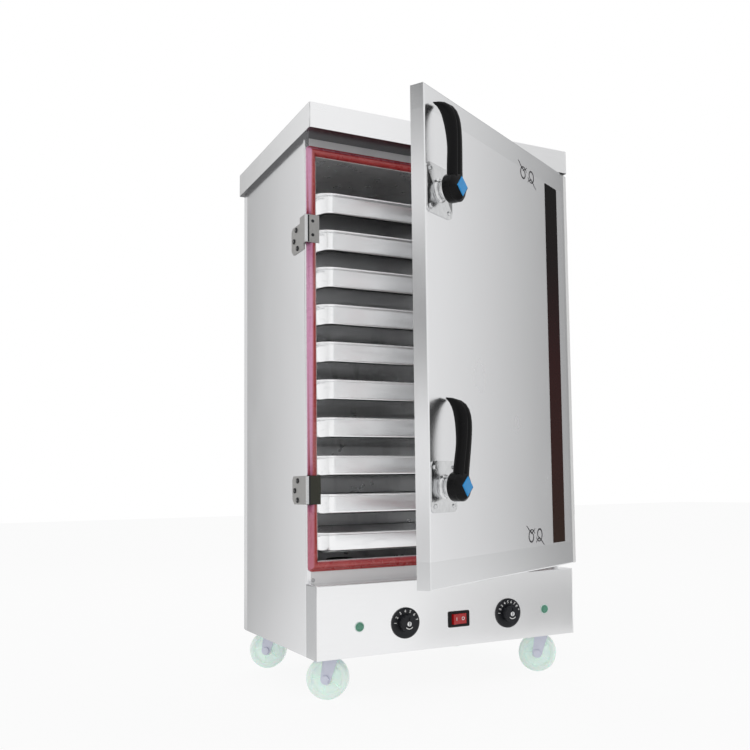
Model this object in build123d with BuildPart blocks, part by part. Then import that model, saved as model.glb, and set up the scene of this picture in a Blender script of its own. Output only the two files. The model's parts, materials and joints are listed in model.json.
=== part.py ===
"""Single-door stainless steaming cabinet on casters, for trays of rice noodle rolls.

Millimetres. +X is the viewer's right, +Y the back and +Z up. The origin is on the floor,
under the middle of the cabinet's footprint. The door stands ajar, as it is at rest.
"""
from build123d import *
from math import cos, radians, sin
import os

os.makedirs("parts", exist_ok=True)

# ------------------------------------------------------------------ driving dimensions
BODY_W = 700.0            # cabinet width
BODY_D = 489.0            # upper body, front frame to back
BODY_TOP = 1306.0         # top of the body, under the cap
BASE_Z = 98.0             # lower edge of the cabinet above the floor
BOX_H = 164.0             # control box height
BOX_OUT = 65.0            # how far the control box stands out in front of the frame

# sheets and fits
SHEET = 1.5               # outer stainless sheet
LINER_SHEET = 1.2         # chamber sheet
FACE_GAP = 0.3            # clearance between pieces that only meet by hand
SCREW_FIT = 0.1
BEND_R = 4.0              # outer bend of the side panels
FRAME_FLANGE = 12.0       # side panels' return beside the front frame
INSULATION_GAP = 2.5      # insulation to the outer panels

# cap
CAP_H = 61.0
CAP_SIDE = 11.8           # overhang at each side
CAP_FRONT = 69.3          # overhang in front of the frame
CAP_BACK = 13.8
CAP_CORNER_R = 5.0
CAP_EDGE_R = 2.5
CAP_LIP = 45.0            # lip's reach in from the body's sides

# chamber opening, measured in from the body
OPENING_SIDE = 28.0
OPENING_ABOVE_BOX = 51.0
OPENING_UNDER_TOP = 43.0
WALL_BACK = 39.0          # chamber's back to the body's back, frame sheet included
TANK_DEPTH = 49.0         # water tank below the opening

GASKET_W = 23.0
GASKET_IN = 1.0           # gasket's inner edge out from the opening
GASKET_PROUD = 12.8
GASKET_OUT_R = 10.0
GASKET_ROUND = 4.5

# trays, and the room that the chamber leaves round them
TRAY_COUNT = 10
TRAY_SIDE = 22.0          # opening's side to the tray's wall
TRAY_FRONT_GAP = 18.0     # frame to the tray's rim
TRAY_BACK_GAP = 50.0      # what the tray is shorter than the chamber
TRAY_TOP_GAP = 73.0       # opening's top to the top tray's rim
TRAY_LOW_GAP = 61.6       # opening's sill to the lowest tray's rim
TRAY_H = 48.0
TRAY_WALL = 1.2
TRAY_RIM = 8.0            # rim outside the tray's wall
TRAY_BEAD_H = 7.0
TRAY_BEAD_W = 2.4
TRAY_CORNER_R = 38.0
TRAY_TAPER = 5.0
RAIL_SHEET = 1.5
RAIL_INNER = 5.0          # rail's inner edge to the tray's wall
RAIL_GUIDE = 7.0          # guide above the rail's shelf
POST_W = 20.0
POST_IN = 60.0            # posts' middle to the rails' ends
POST_OVER = 30.0          # posts above the top rail
POST_UNDER = 8.0          # posts below the opening's sill

# door
DOOR_T = 34.2
DOOR_SIDE = 1.0           # door beyond the body's right side when shut
DOOR_OVER_BOX = 12.4
DOOR_UNDER_CAP = 2.3
DOOR_EDGE_R = 3.0
DOOR_OPEN = 29.84         # degrees the door stands ajar at rest
EMBOSS_H = 8.0            # raised field of the door's inner panel
EMBOSS_X = 95.0
EMBOSS_Z = 90.0
EMBOSS_R = 20.0
EMBOSS_TAPER = 30.0
STRIP_W = 68.0            # dark trim strip on the door
STRIP_RIGHT = 67.5        # strip's right edge to the door's right edge
STRIP_LOW = 59.0          # strip's lower end to the door's lower edge
STRIP_TOP = 54.7
STRIP_T = 0.8

# hinges, whose heights are measured in from the chamber opening
HINGE_X = 20.0            # hinge axis beyond the body's right side
HINGE_BACK = 12.0         # hinge axis in front of the frame
HINGE_LOW = 117.0
HINGE_HIGH = 113.0
HINGE_BARREL_R = 8.0
HINGE_PIN_R = 4.0
HINGE_PIN_FIT = 0.05
HINGE_LEAF_T = 3.0
HINGE_LEAF_H = 64.0
HINGE_LEAF_D = 42.0

# latches, whose heights are measured in from the chamber opening
LATCH_LOW = 165.0
LATCH_HIGH = 174.6
LATCH_IN = 50.4           # spindle to the door's free edge
LATCH_LEAN = (5.0, -5.0)  # lower and upper levers' lean to the right, degrees
BASE_PLATE_W = 97.0
BASE_PLATE_H = 104.0
BASE_PLATE_T = 3.0
BASE_PLATE_R = 14.0
BASE_SCREW_IN = 13.0      # base plate's screws in from its edges
BOSS_R = 19.5
BOSS_H = 21.6
SPINDLE_R = 7.0
SPINDLE_FIT = 0.3
SPINDLE_GAP = 1.0         # spindle to the holes in the door's sheets
HUB_R = 30.0
HUB_H = 29.0
ARM_W = 33.0
ARM_TIP_W = 25.0
ARM_L = 181.0
ARM_T = 24.0
ARM_EDGE = 3.5
BADGE_SIDE = 29.0
BADGE_SEAT = 34.0         # raised seat under the badge
BADGE_T = 2.6
BADGE_EDGE = 1.6
CAM_T = 5.5
CAM_L = 34.0
CAM_W = 18.0
CAM_IN = 3.6              # cam behind the door's inner panel
KEEPER_T = 2.5
KEEPER_REACH = 32.0       # keeper's front leaf, from the body's side
KEEPER_UP = 30.0          # front leaf above the spindle
KEEPER_DOWN = 36.0
KEEPER_D = 84.0           # side leaf along the body's side
KEEPER_NARROW_D = 25.0    # upper keeper's narrow part
# screws of a keeper: distance behind the frame and height over the spindle
LOWER_KEEPER_SCREWS = ((46.0, 19.0), (66.0, -4.0), (47.0, -26.0))
UPPER_KEEPER_SCREWS = ((49.0, 6.0), (65.0, -18.0), (41.0, -40.0))
UPPER_KEEPER_WIDE = (-50.0, 16.0)    # wide part's reach below and above the spindle
SCREW_HEAD_R = 4.6
SCREW_HEAD_H = 2.4
SCREW_SHANK_R = 2.2

# controls, with heights above the control box's lower edge
KNOB_UP = 66.0
THERMOSTAT_X = -132.0
TIMER_X = 149.0
KNOB_SKIRT_R = 35.5
KNOB_SKIRT_H = 5.0
KNOB_GRIP_R = 20.0
KNOB_GRIP_H = 17.0
KNOB_FLUTES = 12
KNOB_FLUTE_R = 3.6
KNOB_SHAFT_R = 3.0
SWITCH_X = 10.0
SWITCH_UP = 63.5
SWITCH_W = 58.0
SWITCH_H = 38.0
SWITCH_BEZEL = 4.0        # bezel wider than the switch's body, each side
SWITCH_BEZEL_T = 3.0
SWITCH_D = 26.0
ROCKER_W = 37.2
ROCKER_H = 24.0
ROCKER_GAP = 2.0
ROCKER_WELL = 14.0
ROCKER_TILT = 8.0
ROCKER_AXIS = 6.0         # rocker's axis behind the panel's face
LAMP_LEFT_IN = 103.0      # lamps in from the body's sides
LAMP_RIGHT_IN = 92.0
LAMP_UP = 67.0
LAMP_R = 9.5
LAMP_BODY_R = 7.0
LAMP_BODY_L = 24.0
LAMP_RIM_T = 2.4
LAMP_DOME_H = 3.4
TERMINAL_W = 6.3          # flat push-on terminals
TERMINAL_T = 0.8
TERMINAL_L = 8.0
CONTACTOR = (72.0, 84.0, 80.0)
CONTACTOR_X = -20.0
CONTACTOR_BACK = 90.0     # contactor's middle behind the frame
CONTACTOR_STEP = 44.0     # height of the contactor's lower, wider part

# casters
CASTER_IN = 62.0          # kingpin in from the body's side
CASTER_OUT = 10.0         # front kingpins in front of the frame
CASTER_BACK = 59.0        # back kingpins in from the back
CASTER_AXLE_TURN = -35.0  # degrees that the wheels are swivelled at rest
CASTER_TRAIL = 14.0
WHEEL_R = 48.0
WHEEL_W = 30.0
WHEEL_SHOULDER_R = 5.0
DISH_R = 34.5             # dish in the wheel's side
DISH_HUB_R = 14.5
DISH_DEPTH = 6.0
AXLE_R = 6.0
AXLE_FIT = 0.1
AXLE_HEAD_R = 9.5
AXLE_HEAD_H = 5.0
FORK_T = 4.0
FORK_GAP = 3.0            # wheel to fork leg, each side
FORK_EYE_R = 12.0
CROWN_T = 4.0
CROWN_L = 42.0
CROWN_UP = 5.0            # crown above the cabinet's lower edge
PLATE_T = 3.0
PLATE_SIDE = 76.0
PLATE_BOLTS = 58.0        # pitch of the plate's bolt holes
PLATE_BOLT_R = 4.2
DECK_UP = 16.0            # base pan's deck above the cabinet's lower edge
DECK_FLANGE = 14.0
KINGPIN_R = 6.0
RACE_R = 21.0             # swivel's upper race
KINGPIN_HEAD_R = 9.6
KINGPIN_HEAD_H = 2.5

# water, steam and power
HEATER_R = 5.5
HEATER_UP = 22.0          # heater above the tank's floor
HEATER_PITCH = 60.0
HEATER_BEND = 18.0
HEATER_IN = 182.0         # heater's middle in from the opening's side
HEATER_FRONT = 60.0       # heater's legs behind the trays' front
HEATER_BACK = 110.0       # heater's bend in front of the chamber's back
HEATER_LEG = 34.0         # heater's legs below the tank's floor
HEATER_NUT_UP = 4.0
HEATER_NUT_DOWN = 7.0
INLET_IN = 72.0           # inlet in from the opening's side
INLET_R = 10.48           # half-inch pipe thread, outside
INLET_L = 20.0
INLET_NUT_T = 4.0
INLET_UNDER = 13.0        # inlet below the opening's sill
VALVE_BLOCK = (26.0, 24.0)
VALVE_BLOCK_BACK = 26.0   # float valve's block in front of the chamber's back
PIVOT_FRONT = 34.0        # float arm's pivot in front of the chamber's back
PIVOT_R = 5.0
PIVOT_HALF = 13.0
ARM_GAP = 9.0
FLOAT_PIN_R = 1.5
FLOAT_PIN_HALF = 12.0
FLOAT_EYE_R = 4.4
FLOAT_ROD_R = 2.0
FLOAT_R = 18.0
FLOAT_L = 110.0
FLOAT_DROP = 10.0
DRAIN_IN = 92.0           # drain in from the opening's side
DRAIN_UP = 97.0           # drain above the cabinet's lower edge
DRAIN_R = 13.2            # three-quarter-inch pipe thread, outside
DRAIN_WALL = 3.0
VALVE_OUT = 5.0           # ball valve behind the back panel
VALVE_L = 26.0
VALVE_HALF = 17.0
VALVE_CORNER_R = 6.0
VALVE_NECK_R = 6.0
VALVE_NECK_H = 6.0
VALVE_STEM_R = 3.0
VALVE_STEM_H = 12.0
OUTLET_L = 16.0
DRAIN_LEVER_L = 78.0
DRAIN_LEVER_W = 16.0
DRAIN_LEVER_T = 3.0
VENT_R = 16.0
VENT_WALL = 2.0
VENT_UNDER = 33.0         # vent below the opening's top
VENT_L = 26.0
VENT_FLANGE_R = 24.0
VENT_FLANGE_T = 3.0
GLAND_IN = 120.0          # gland in from the body's side
GLAND_UP = 62.0
GLAND_R = 12.0
GLAND_THREAD_R = 10.0
GLAND_INSIDE = 8.0
GLAND_DOME_H = 19.0
GLAND_NUT_T = 5.0
SLOT_COUNT = 12           # air slots low in the back panel
SLOT_PITCH = 22.0
SLOT_L = 70.0
SLOT_W = 6.0

# ------------------------------------------------------------------ derived places
FRONT = -(BODY_D + BOX_OUT) / 2 + BOX_OUT      # front frame's face
BOX_FRONT = FRONT - BOX_OUT
BACK = FRONT + BODY_D
HALF = BODY_W / 2
BOX_TOP = BASE_Z + BOX_H
OPENING_W = BODY_W - 2 * OPENING_SIDE
OPEN_HALF = OPENING_W / 2
OPENING_Z = BOX_TOP + OPENING_ABOVE_BOX
OPENING_TOP = BODY_TOP - OPENING_UNDER_TOP
OPENING_H = OPENING_TOP - OPENING_Z
OPENING_MID = (OPENING_Z + OPENING_TOP) / 2
FRAME_BACK = FRONT + SHEET
LINER_BACK = BACK - WALL_BACK + SHEET
TANK_FLOOR = OPENING_Z - TANK_DEPTH
GASKET_FRONT = FRONT - GASKET_PROUD
DECK_Z = BASE_Z + DECK_UP

TRAY_W = OPENING_W - 2 * TRAY_SIDE
TRAY_D = BODY_D - WALL_BACK - TRAY_BACK_GAP
TRAY_TOP_Z = OPENING_TOP - TRAY_TOP_GAP        # rim of the top tray
TRAY_PITCH = (TRAY_TOP_Z - OPENING_Z - TRAY_LOW_GAP) / (TRAY_COUNT - 1)
TRAY_FRONT = FRONT + TRAY_FRONT_GAP
TRAY_MID_Y = TRAY_FRONT + TRAY_RIM + TRAY_D / 2

HINGE_AXIS_X = HALF + HINGE_X
HINGE_AXIS_Y = FRONT - HINGE_BACK
HINGE_HEIGHTS = (OPENING_Z + HINGE_LOW, OPENING_TOP - HINGE_HIGH)
LATCH_HEIGHTS = (OPENING_Z + LATCH_LOW, OPENING_TOP - LATCH_HIGH)
# door sizes measured from the hinge axis, with the door shut
DOOR_W = BODY_W + DOOR_SIDE
DOOR_Z = BOX_TOP + DOOR_OVER_BOX
DOOR_H = BODY_TOP - DOOR_UNDER_CAP - DOOR_Z
DOOR_RIGHT = DOOR_SIDE - HINGE_X
DOOR_LEFT = DOOR_RIGHT - DOOR_W
DOOR_MID_X = (DOOR_LEFT + DOOR_RIGHT) / 2
DOOR_MID_Z = DOOR_Z + DOOR_H / 2
DOOR_IN = GASKET_FRONT - FACE_GAP - HINGE_AXIS_Y
DOOR_OUT = DOOR_IN - DOOR_T
SPINDLE_X = DOOR_LEFT + LATCH_IN
HUB_OUT = DOOR_OUT - BASE_PLATE_T - BOSS_H - FACE_GAP
CAM_FACE = DOOR_IN + CAM_IN

KNOB_Z = BASE_Z + KNOB_UP
SWITCH_Z = BASE_Z + SWITCH_UP
LAMP_XS = (LAMP_LEFT_IN - HALF, HALF - LAMP_RIGHT_IN)
LAMP_Z = BASE_Z + LAMP_UP
CASTER_X = HALF - CASTER_IN
CASTER_YS = (FRONT - CASTER_OUT, BACK - CASTER_BACK)
CROWN_Z = BASE_Z + CROWN_UP
HEATER_X = OPEN_HALF - HEATER_IN
INLET_X = INLET_IN - OPEN_HALF
PIPE_Z = OPENING_Z - INLET_UNDER
PIVOT_Y = LINER_BACK - PIVOT_FRONT
DRAIN_X = OPEN_HALF - DRAIN_IN
DRAIN_Z = BASE_Z + DRAIN_UP
DRAIN_Y = LINER_BACK - 3 * DRAIN_R
VALVE_Y = BACK + VALVE_OUT
VENT_Z = OPENING_TOP - VENT_UNDER
GLAND_X = GLAND_IN - HALF
GLAND_Z = BASE_Z + GLAND_UP


def sheet_box(low, high, mode=Mode.ADD):
    """Box between two corners of the part that is being built."""
    centre = [(a + b) / 2 for a, b in zip(low, high)]
    with Locations(tuple(centre)):
        return Box(*[b - a for a, b in zip(low, high)], mode=mode)


def back_plane(x, z, y=BACK):
    """Plane on the back panel at x and z, facing backwards."""
    return Plane(origin=(x, y, z), x_dir=(-1, 0, 0), z_dir=(0, 1, 0))


def front_plane(x, z, y):
    """Plane facing the viewer, at x, z and depth y."""
    return Plane(origin=(x, y, z), x_dir=(1, 0, 0), z_dir=(0, -1, 0))


# the door's own axes: its origin is on the hinge axis and x runs along the door
swing = radians(DOOR_OPEN)
door_axes = Plane(
    origin=(HINGE_AXIS_X, HINGE_AXIS_Y, 0), x_dir=(cos(swing), sin(swing), 0), z_dir=(0, 0, 1)
)


def door_point(x, y, z):
    """Point of the standing-ajar door from its place on the shut door."""
    return door_axes.from_local_coords((x, y, z))


def door_face(x, z, y=DOOR_OUT, turn=0.0):
    """Plane parallel to the door's face, turned clockwise as the viewer sees it."""
    lean = radians(turn)
    across = door_axes.x_dir * cos(lean) + Vector(0, 0, -1) * sin(lean)
    return Plane(origin=door_point(x, y, z), x_dir=across, z_dir=door_axes.y_dir * -1)


def keeper_screws(height):
    """Screw places of the keeper that serves the latch at this height."""
    return LOWER_KEEPER_SCREWS if height == LATCH_HEIGHTS[0] else UPPER_KEEPER_SCREWS


# ------------------------------------------------------------------ body sheets
# Side panels are channels: a wide web with a return at the front and at the back.
for side, name in ((-1, "side_panel_left"), (1, "side_panel_right")):
    with BuildPart() as side_panel:
        with BuildSketch(Plane.XY.offset(BASE_Z)):
            with Locations((side * (HALF - FRAME_FLANGE / 2), (FRONT + BACK) / 2)):
                Rectangle(FRAME_FLANGE, BODY_D)
            corners = [v for v in vertices() if abs(v.X) > HALF - 1]
            fillet(corners, radius=BEND_R)
            with Locations((side * (HALF - SHEET - FRAME_FLANGE / 2), (FRONT + BACK) / 2)):
                RectangleRounded(FRAME_FLANGE, BODY_D - 2 * SHEET, BEND_R - SHEET, mode=Mode.SUBTRACT)
            with Locations((side * (HALF - FRAME_FLANGE), (FRONT + BACK) / 2)):
                Rectangle(FRAME_FLANGE, BODY_D - 2 * SHEET, mode=Mode.SUBTRACT)
        extrude(amount=BODY_TOP - BASE_Z)
        if side < 0:
            for height in LATCH_HEIGHTS:
                for y, z in keeper_screws(height):
                    spot = Plane(origin=(-HALF, FRONT + y, height + z), z_dir=(1, 0, 0))
                    with BuildSketch(spot):
                        Circle(SCREW_SHANK_R + SCREW_FIT)
                    extrude(amount=SHEET, mode=Mode.SUBTRACT)
    side_panel.part.label = name
    export_step(side_panel.part, f"parts/{name}.step")

# Back panel between the returns, with the openings for pipes and air.
BACK_HALF = HALF - FRAME_FLANGE
with BuildPart() as back_panel:
    with BuildSketch(back_plane(0, (BASE_Z + BODY_TOP) / 2, BACK - SHEET)):
        Rectangle(2 * BACK_HALF, BODY_TOP - BASE_Z)
    extrude(amount=SHEET)
    for x, z, r in (
        (INLET_X, PIPE_Z, INLET_R),
        (DRAIN_X, DRAIN_Z, DRAIN_R),
        (0, VENT_Z, VENT_R),
        (GLAND_X, GLAND_Z, GLAND_THREAD_R),
    ):
        with BuildSketch(back_plane(x, z, BACK - SHEET)):
            Circle(r + FACE_GAP)
        extrude(amount=SHEET, mode=Mode.SUBTRACT)
    with BuildSketch(back_plane(0, KNOB_Z, BACK - SHEET)):
        with GridLocations(SLOT_PITCH, 0, SLOT_COUNT, 1):
            SlotOverall(SLOT_L, SLOT_W, rotation=90)
    extrude(amount=SHEET, mode=Mode.SUBTRACT)
back_panel.part.label = "back_panel"
export_step(back_panel.part, "parts/back_panel.step")

# Cap: a pan turned over, with a lip folded in under its edges.
CAP_X = HALF + CAP_SIDE
CAP_Y0 = FRONT - CAP_FRONT
CAP_Y1 = BACK + CAP_BACK
with BuildPart() as top_cap:
    with BuildSketch(Plane.XY.offset(BODY_TOP)):
        with Locations((0, (CAP_Y0 + CAP_Y1) / 2)):
            RectangleRounded(2 * CAP_X, CAP_Y1 - CAP_Y0, CAP_CORNER_R)
    extrude(amount=CAP_H)
    fillet(top_cap.faces().sort_by(Axis.Z)[-1].edges(), radius=CAP_EDGE_R)
    sheet_box(
        (-CAP_X + SHEET, CAP_Y0 + SHEET, BODY_TOP + SHEET),
        (CAP_X - SHEET, CAP_Y1 - SHEET, BODY_TOP + CAP_H - SHEET),
        mode=Mode.SUBTRACT,
    )
    sheet_box(
        (-HALF + CAP_LIP, FRONT + CAP_LIP, BODY_TOP),
        (HALF - CAP_LIP, BACK - CAP_LIP, BODY_TOP + SHEET),
        mode=Mode.SUBTRACT,
    )
top_cap.part.label = "top_cap"
export_step(top_cap.part, "parts/top_cap.step")

# Base pan: a deck with its edges folded down, narrower between the side panels' returns.
def deck_outline(inset, mode=Mode.ADD):
    """Deck seen from above: a wide part behind the frame and a tongue under the control box."""
    wide_y0, wide_y1 = FRAME_BACK + BEND_R + inset, BACK - SHEET - BEND_R - inset
    tongue_y0, tongue_y1 = BOX_FRONT + SHEET + FACE_GAP + inset, BACK - SHEET - inset
    with Locations((0, (wide_y0 + wide_y1) / 2)):
        Rectangle(2 * (HALF - SHEET - FACE_GAP - inset), wide_y1 - wide_y0, mode=mode)
    with Locations((0, (tongue_y0 + tongue_y1) / 2)):
        Rectangle(2 * (HALF - FRAME_FLANGE - FACE_GAP - inset), tongue_y1 - tongue_y0, mode=mode)


with BuildPart() as base_pan:
    with BuildSketch(Plane.XY.offset(DECK_Z)):
        deck_outline(0)
    extrude(amount=SHEET)
    with BuildSketch(Plane.XY.offset(DECK_Z)):
        deck_outline(0)
        deck_outline(SHEET, Mode.SUBTRACT)
    extrude(amount=-DECK_FLANGE)
    for x in (-CASTER_X, CASTER_X):
        for y in CASTER_YS:
            with Locations((x, y, DECK_Z)):
                with GridLocations(PLATE_BOLTS, PLATE_BOLTS, 2, 2):
                    Hole(radius=PLATE_BOLT_R)
base_pan.part.label = "base_pan"
export_step(base_pan.part, "parts/base_pan.step")

# Control box: front, two cheeks and the ledge on top, folded from one sheet.
with BuildPart() as control_panel:
    with BuildSketch(Plane.XY.offset(BASE_Z)):
        with Locations((0, (BOX_FRONT + FRONT) / 2)):
            Rectangle(BODY_W, BOX_OUT)
        fillet(vertices().group_by(Axis.Y)[0], radius=CAP_CORNER_R)
    extrude(amount=BOX_H)
    fillet(control_panel.faces().sort_by(Axis.Z)[-1].edges().sort_by(Axis.Y)[0], radius=CAP_EDGE_R)
    sheet_box(
        (-HALF + SHEET, BOX_FRONT + SHEET, BASE_Z),
        (HALF - SHEET, FRONT, BOX_TOP - SHEET),
        mode=Mode.SUBTRACT,
    )
    for x, z, r in (
        (THERMOSTAT_X, KNOB_Z, 2 * KNOB_SHAFT_R),
        (TIMER_X, KNOB_Z, 2 * KNOB_SHAFT_R),
        (LAMP_XS[0], LAMP_Z, LAMP_BODY_R + SCREW_FIT),
        (LAMP_XS[1], LAMP_Z, LAMP_BODY_R + SCREW_FIT),
    ):
        with BuildSketch(front_plane(x, z, BOX_FRONT + SHEET)):
            Circle(r)
        extrude(amount=SHEET, mode=Mode.SUBTRACT)
    with BuildSketch(front_plane(SWITCH_X, SWITCH_Z, BOX_FRONT + SHEET)):
        Rectangle(
            SWITCH_W - 2 * SWITCH_BEZEL + 2 * FACE_GAP, SWITCH_H - 2 * SWITCH_BEZEL + 2 * FACE_GAP
        )
    extrude(amount=SHEET, mode=Mode.SUBTRACT)
control_panel.part.label = "control_panel"
export_step(control_panel.part, "parts/control_panel.step")

# Front frame: one sheet with the chamber opening cut out of it.
frame_mid_z = (BOX_TOP + BODY_TOP) / 2
with BuildPart() as front_frame:
    with BuildSketch(front_plane(0, frame_mid_z, FRAME_BACK)):
        Rectangle(2 * (HALF - FRAME_FLANGE), BODY_TOP - BOX_TOP)
        with Locations((0, OPENING_MID - frame_mid_z)):
            Rectangle(OPENING_W, OPENING_H, mode=Mode.SUBTRACT)
    extrude(amount=SHEET)
front_frame.part.label = "front_frame"
export_step(front_frame.part, "parts/front_frame.step")

# Chamber: a deep box open at the front, whose lower part is the water tank.
with BuildPart() as inner_liner:
    sheet_box(
        (-OPEN_HALF - LINER_SHEET, FRAME_BACK, TANK_FLOOR - LINER_SHEET),
        (OPEN_HALF + LINER_SHEET, LINER_BACK + LINER_SHEET, OPENING_TOP + LINER_SHEET),
    )
    sheet_box(
        (-OPEN_HALF, FRAME_BACK + LINER_SHEET, TANK_FLOOR),
        (OPEN_HALF, LINER_BACK, OPENING_TOP),
        mode=Mode.SUBTRACT,
    )
    sheet_box(
        (-OPEN_HALF, FRAME_BACK, OPENING_Z),
        (OPEN_HALF, FRAME_BACK + LINER_SHEET, OPENING_TOP),
        mode=Mode.SUBTRACT,
    )
    for x, z, r in ((INLET_X, PIPE_Z, INLET_R), (0, VENT_Z, VENT_R)):
        with BuildSketch(back_plane(x, z, LINER_BACK)):
            Circle(r + FACE_GAP)
        extrude(amount=LINER_SHEET, mode=Mode.SUBTRACT)
    with BuildSketch(Plane.XY.offset(TANK_FLOOR - LINER_SHEET)):
        with Locations((DRAIN_X, DRAIN_Y)):
            Circle(DRAIN_R + FACE_GAP)
        for x in (-HEATER_X, HEATER_X):
            with Locations((x, TRAY_FRONT + HEATER_FRONT)):
                with GridLocations(HEATER_PITCH, 0, 2, 1):
                    Circle(HEATER_R + FACE_GAP)
    extrude(amount=LINER_SHEET, mode=Mode.SUBTRACT)
inner_liner.part.label = "inner_liner"
export_step(inner_liner.part, "parts/inner_liner.step")

# Insulation blanket round the chamber's sides, back and top.
with BuildPart() as insulation:
    sheet_box(
        (-HALF + SHEET + INSULATION_GAP, FRAME_BACK, TANK_FLOOR - LINER_SHEET),
        (HALF - SHEET - INSULATION_GAP, BACK - SHEET, BODY_TOP - FACE_GAP),
    )
    for x in (-HALF + SHEET, HALF - SHEET):
        for y in (FRAME_BACK, BACK - SHEET):
            with Locations((x, y, frame_mid_z)):
                Box(2 * (INSULATION_GAP + BEND_R), 2 * BEND_R, BODY_TOP, mode=Mode.SUBTRACT)
    sheet_box(
        (-OPEN_HALF - LINER_SHEET, FRAME_BACK, 0),
        (OPEN_HALF + LINER_SHEET, LINER_BACK + LINER_SHEET, OPENING_TOP + LINER_SHEET),
        mode=Mode.SUBTRACT,
    )
    for x, z, r in ((INLET_X, PIPE_Z, INLET_R), (0, VENT_Z, VENT_R)):
        with BuildSketch(back_plane(x, z, LINER_BACK)):
            Circle(r + 3 * FACE_GAP)
        extrude(amount=BACK - LINER_BACK, mode=Mode.SUBTRACT)
insulation.part.label = "insulation"
export_step(insulation.part, "parts/insulation.step")

# Door gasket: a round-fronted silicone strip, broken where the keepers cross it.
with BuildPart() as door_gasket:
    with BuildSketch(front_plane(0, OPENING_MID, FRONT)):
        inner_w, inner_h = OPENING_W + 2 * GASKET_IN, OPENING_H + 2 * GASKET_IN
        RectangleRounded(inner_w + 2 * GASKET_W, inner_h + 2 * GASKET_W, GASKET_OUT_R)
        Rectangle(inner_w, inner_h, mode=Mode.SUBTRACT)
    extrude(amount=GASKET_PROUD)
    fillet(door_gasket.faces().sort_by(Axis.Y)[0].edges(), radius=GASKET_ROUND)
    for height in LATCH_HEIGHTS:
        sheet_box(
            (-HALF, GASKET_FRONT, height - KEEPER_DOWN - FACE_GAP),
            (-OPEN_HALF, FRONT, height + KEEPER_UP + FACE_GAP),
            mode=Mode.SUBTRACT,
        )
door_gasket.part.label = "door_gasket"
export_step(door_gasket.part, "parts/door_gasket.step")

# ------------------------------------------------------------------ trays and their racks
POST_BOTTOM = OPENING_Z - POST_UNDER
POST_TOP = TRAY_TOP_Z + POST_OVER
for side, name in ((-1, "tray_rack_left"), (1, "tray_rack_right")):
    wall_x = OPEN_HALF - FACE_GAP
    with BuildPart() as tray_rack:
        for y in (TRAY_MID_Y - TRAY_D / 2 + POST_IN, TRAY_MID_Y + TRAY_D / 2 - POST_IN):
            with BuildSketch(Plane.XY.offset(POST_BOTTOM)):
                with Locations((side * (wall_x - RAIL_SHEET / 2), y)):
                    Rectangle(RAIL_SHEET, POST_W)
            extrude(amount=POST_TOP - POST_BOTTOM)
        for level in range(TRAY_COUNT):
            shelf_z = TRAY_TOP_Z - level * TRAY_PITCH - TRAY_BEAD_H - FACE_GAP - RAIL_SHEET
            with BuildSketch(front_plane(0, shelf_z, TRAY_MID_Y + TRAY_D / 2)):
                shelf_x = TRAY_W / 2 + RAIL_INNER
                with Locations((side * (shelf_x + wall_x) / 2, RAIL_SHEET / 2)):
                    Rectangle(wall_x - shelf_x, RAIL_SHEET)
                with Locations((side * (wall_x - RAIL_SHEET / 2), (RAIL_SHEET + RAIL_GUIDE) / 2)):
                    Rectangle(RAIL_SHEET, RAIL_SHEET + RAIL_GUIDE)
            extrude(amount=TRAY_D)
    tray_rack.part.label = name
    export_step(tray_rack.part, f"parts/{name}.step")

# Trays: drawn pans with leaning walls, a flat rim and a rolled bead round it.
for level in range(TRAY_COUNT):
    rim_z = TRAY_TOP_Z - level * TRAY_PITCH
    with BuildPart() as tray:
        with BuildSketch(Plane.XY.offset(rim_z)):
            with Locations((0, TRAY_MID_Y)):
                RectangleRounded(TRAY_W, TRAY_D, TRAY_CORNER_R)
        extrude(amount=-TRAY_H, taper=TRAY_TAPER)
        with BuildSketch(Plane.XY.offset(rim_z)):
            with Locations((0, TRAY_MID_Y)):
                RectangleRounded(
                    TRAY_W + 2 * TRAY_RIM, TRAY_D + 2 * TRAY_RIM, TRAY_CORNER_R + TRAY_RIM
                )
        extrude(amount=-TRAY_WALL)
        with BuildSketch(Plane.XY.offset(rim_z)):
            with Locations((0, TRAY_MID_Y)):
                RectangleRounded(
                    TRAY_W + 2 * TRAY_RIM, TRAY_D + 2 * TRAY_RIM, TRAY_CORNER_R + TRAY_RIM
                )
                RectangleRounded(
                    TRAY_W + 2 * (TRAY_RIM - TRAY_BEAD_W),
                    TRAY_D + 2 * (TRAY_RIM - TRAY_BEAD_W),
                    TRAY_CORNER_R + TRAY_RIM - TRAY_BEAD_W,
                    mode=Mode.SUBTRACT,
                )
        extrude(amount=-TRAY_BEAD_H)
        with BuildSketch(Plane.XY.offset(rim_z)):
            with Locations((0, TRAY_MID_Y)):
                RectangleRounded(
                    TRAY_W - 2 * TRAY_WALL, TRAY_D - 2 * TRAY_WALL, TRAY_CORNER_R - TRAY_WALL
                )
        extrude(amount=-(TRAY_H - TRAY_WALL), taper=TRAY_TAPER, mode=Mode.SUBTRACT)
        chamfer(tray.faces().sort_by(Axis.Z)[0].edges(), length=TRAY_WALL * 0.8)
    tray.part.label = f"tray_{level + 1:02d}"
    export_step(tray.part, f"parts/tray_{level + 1:02d}.step")

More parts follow.
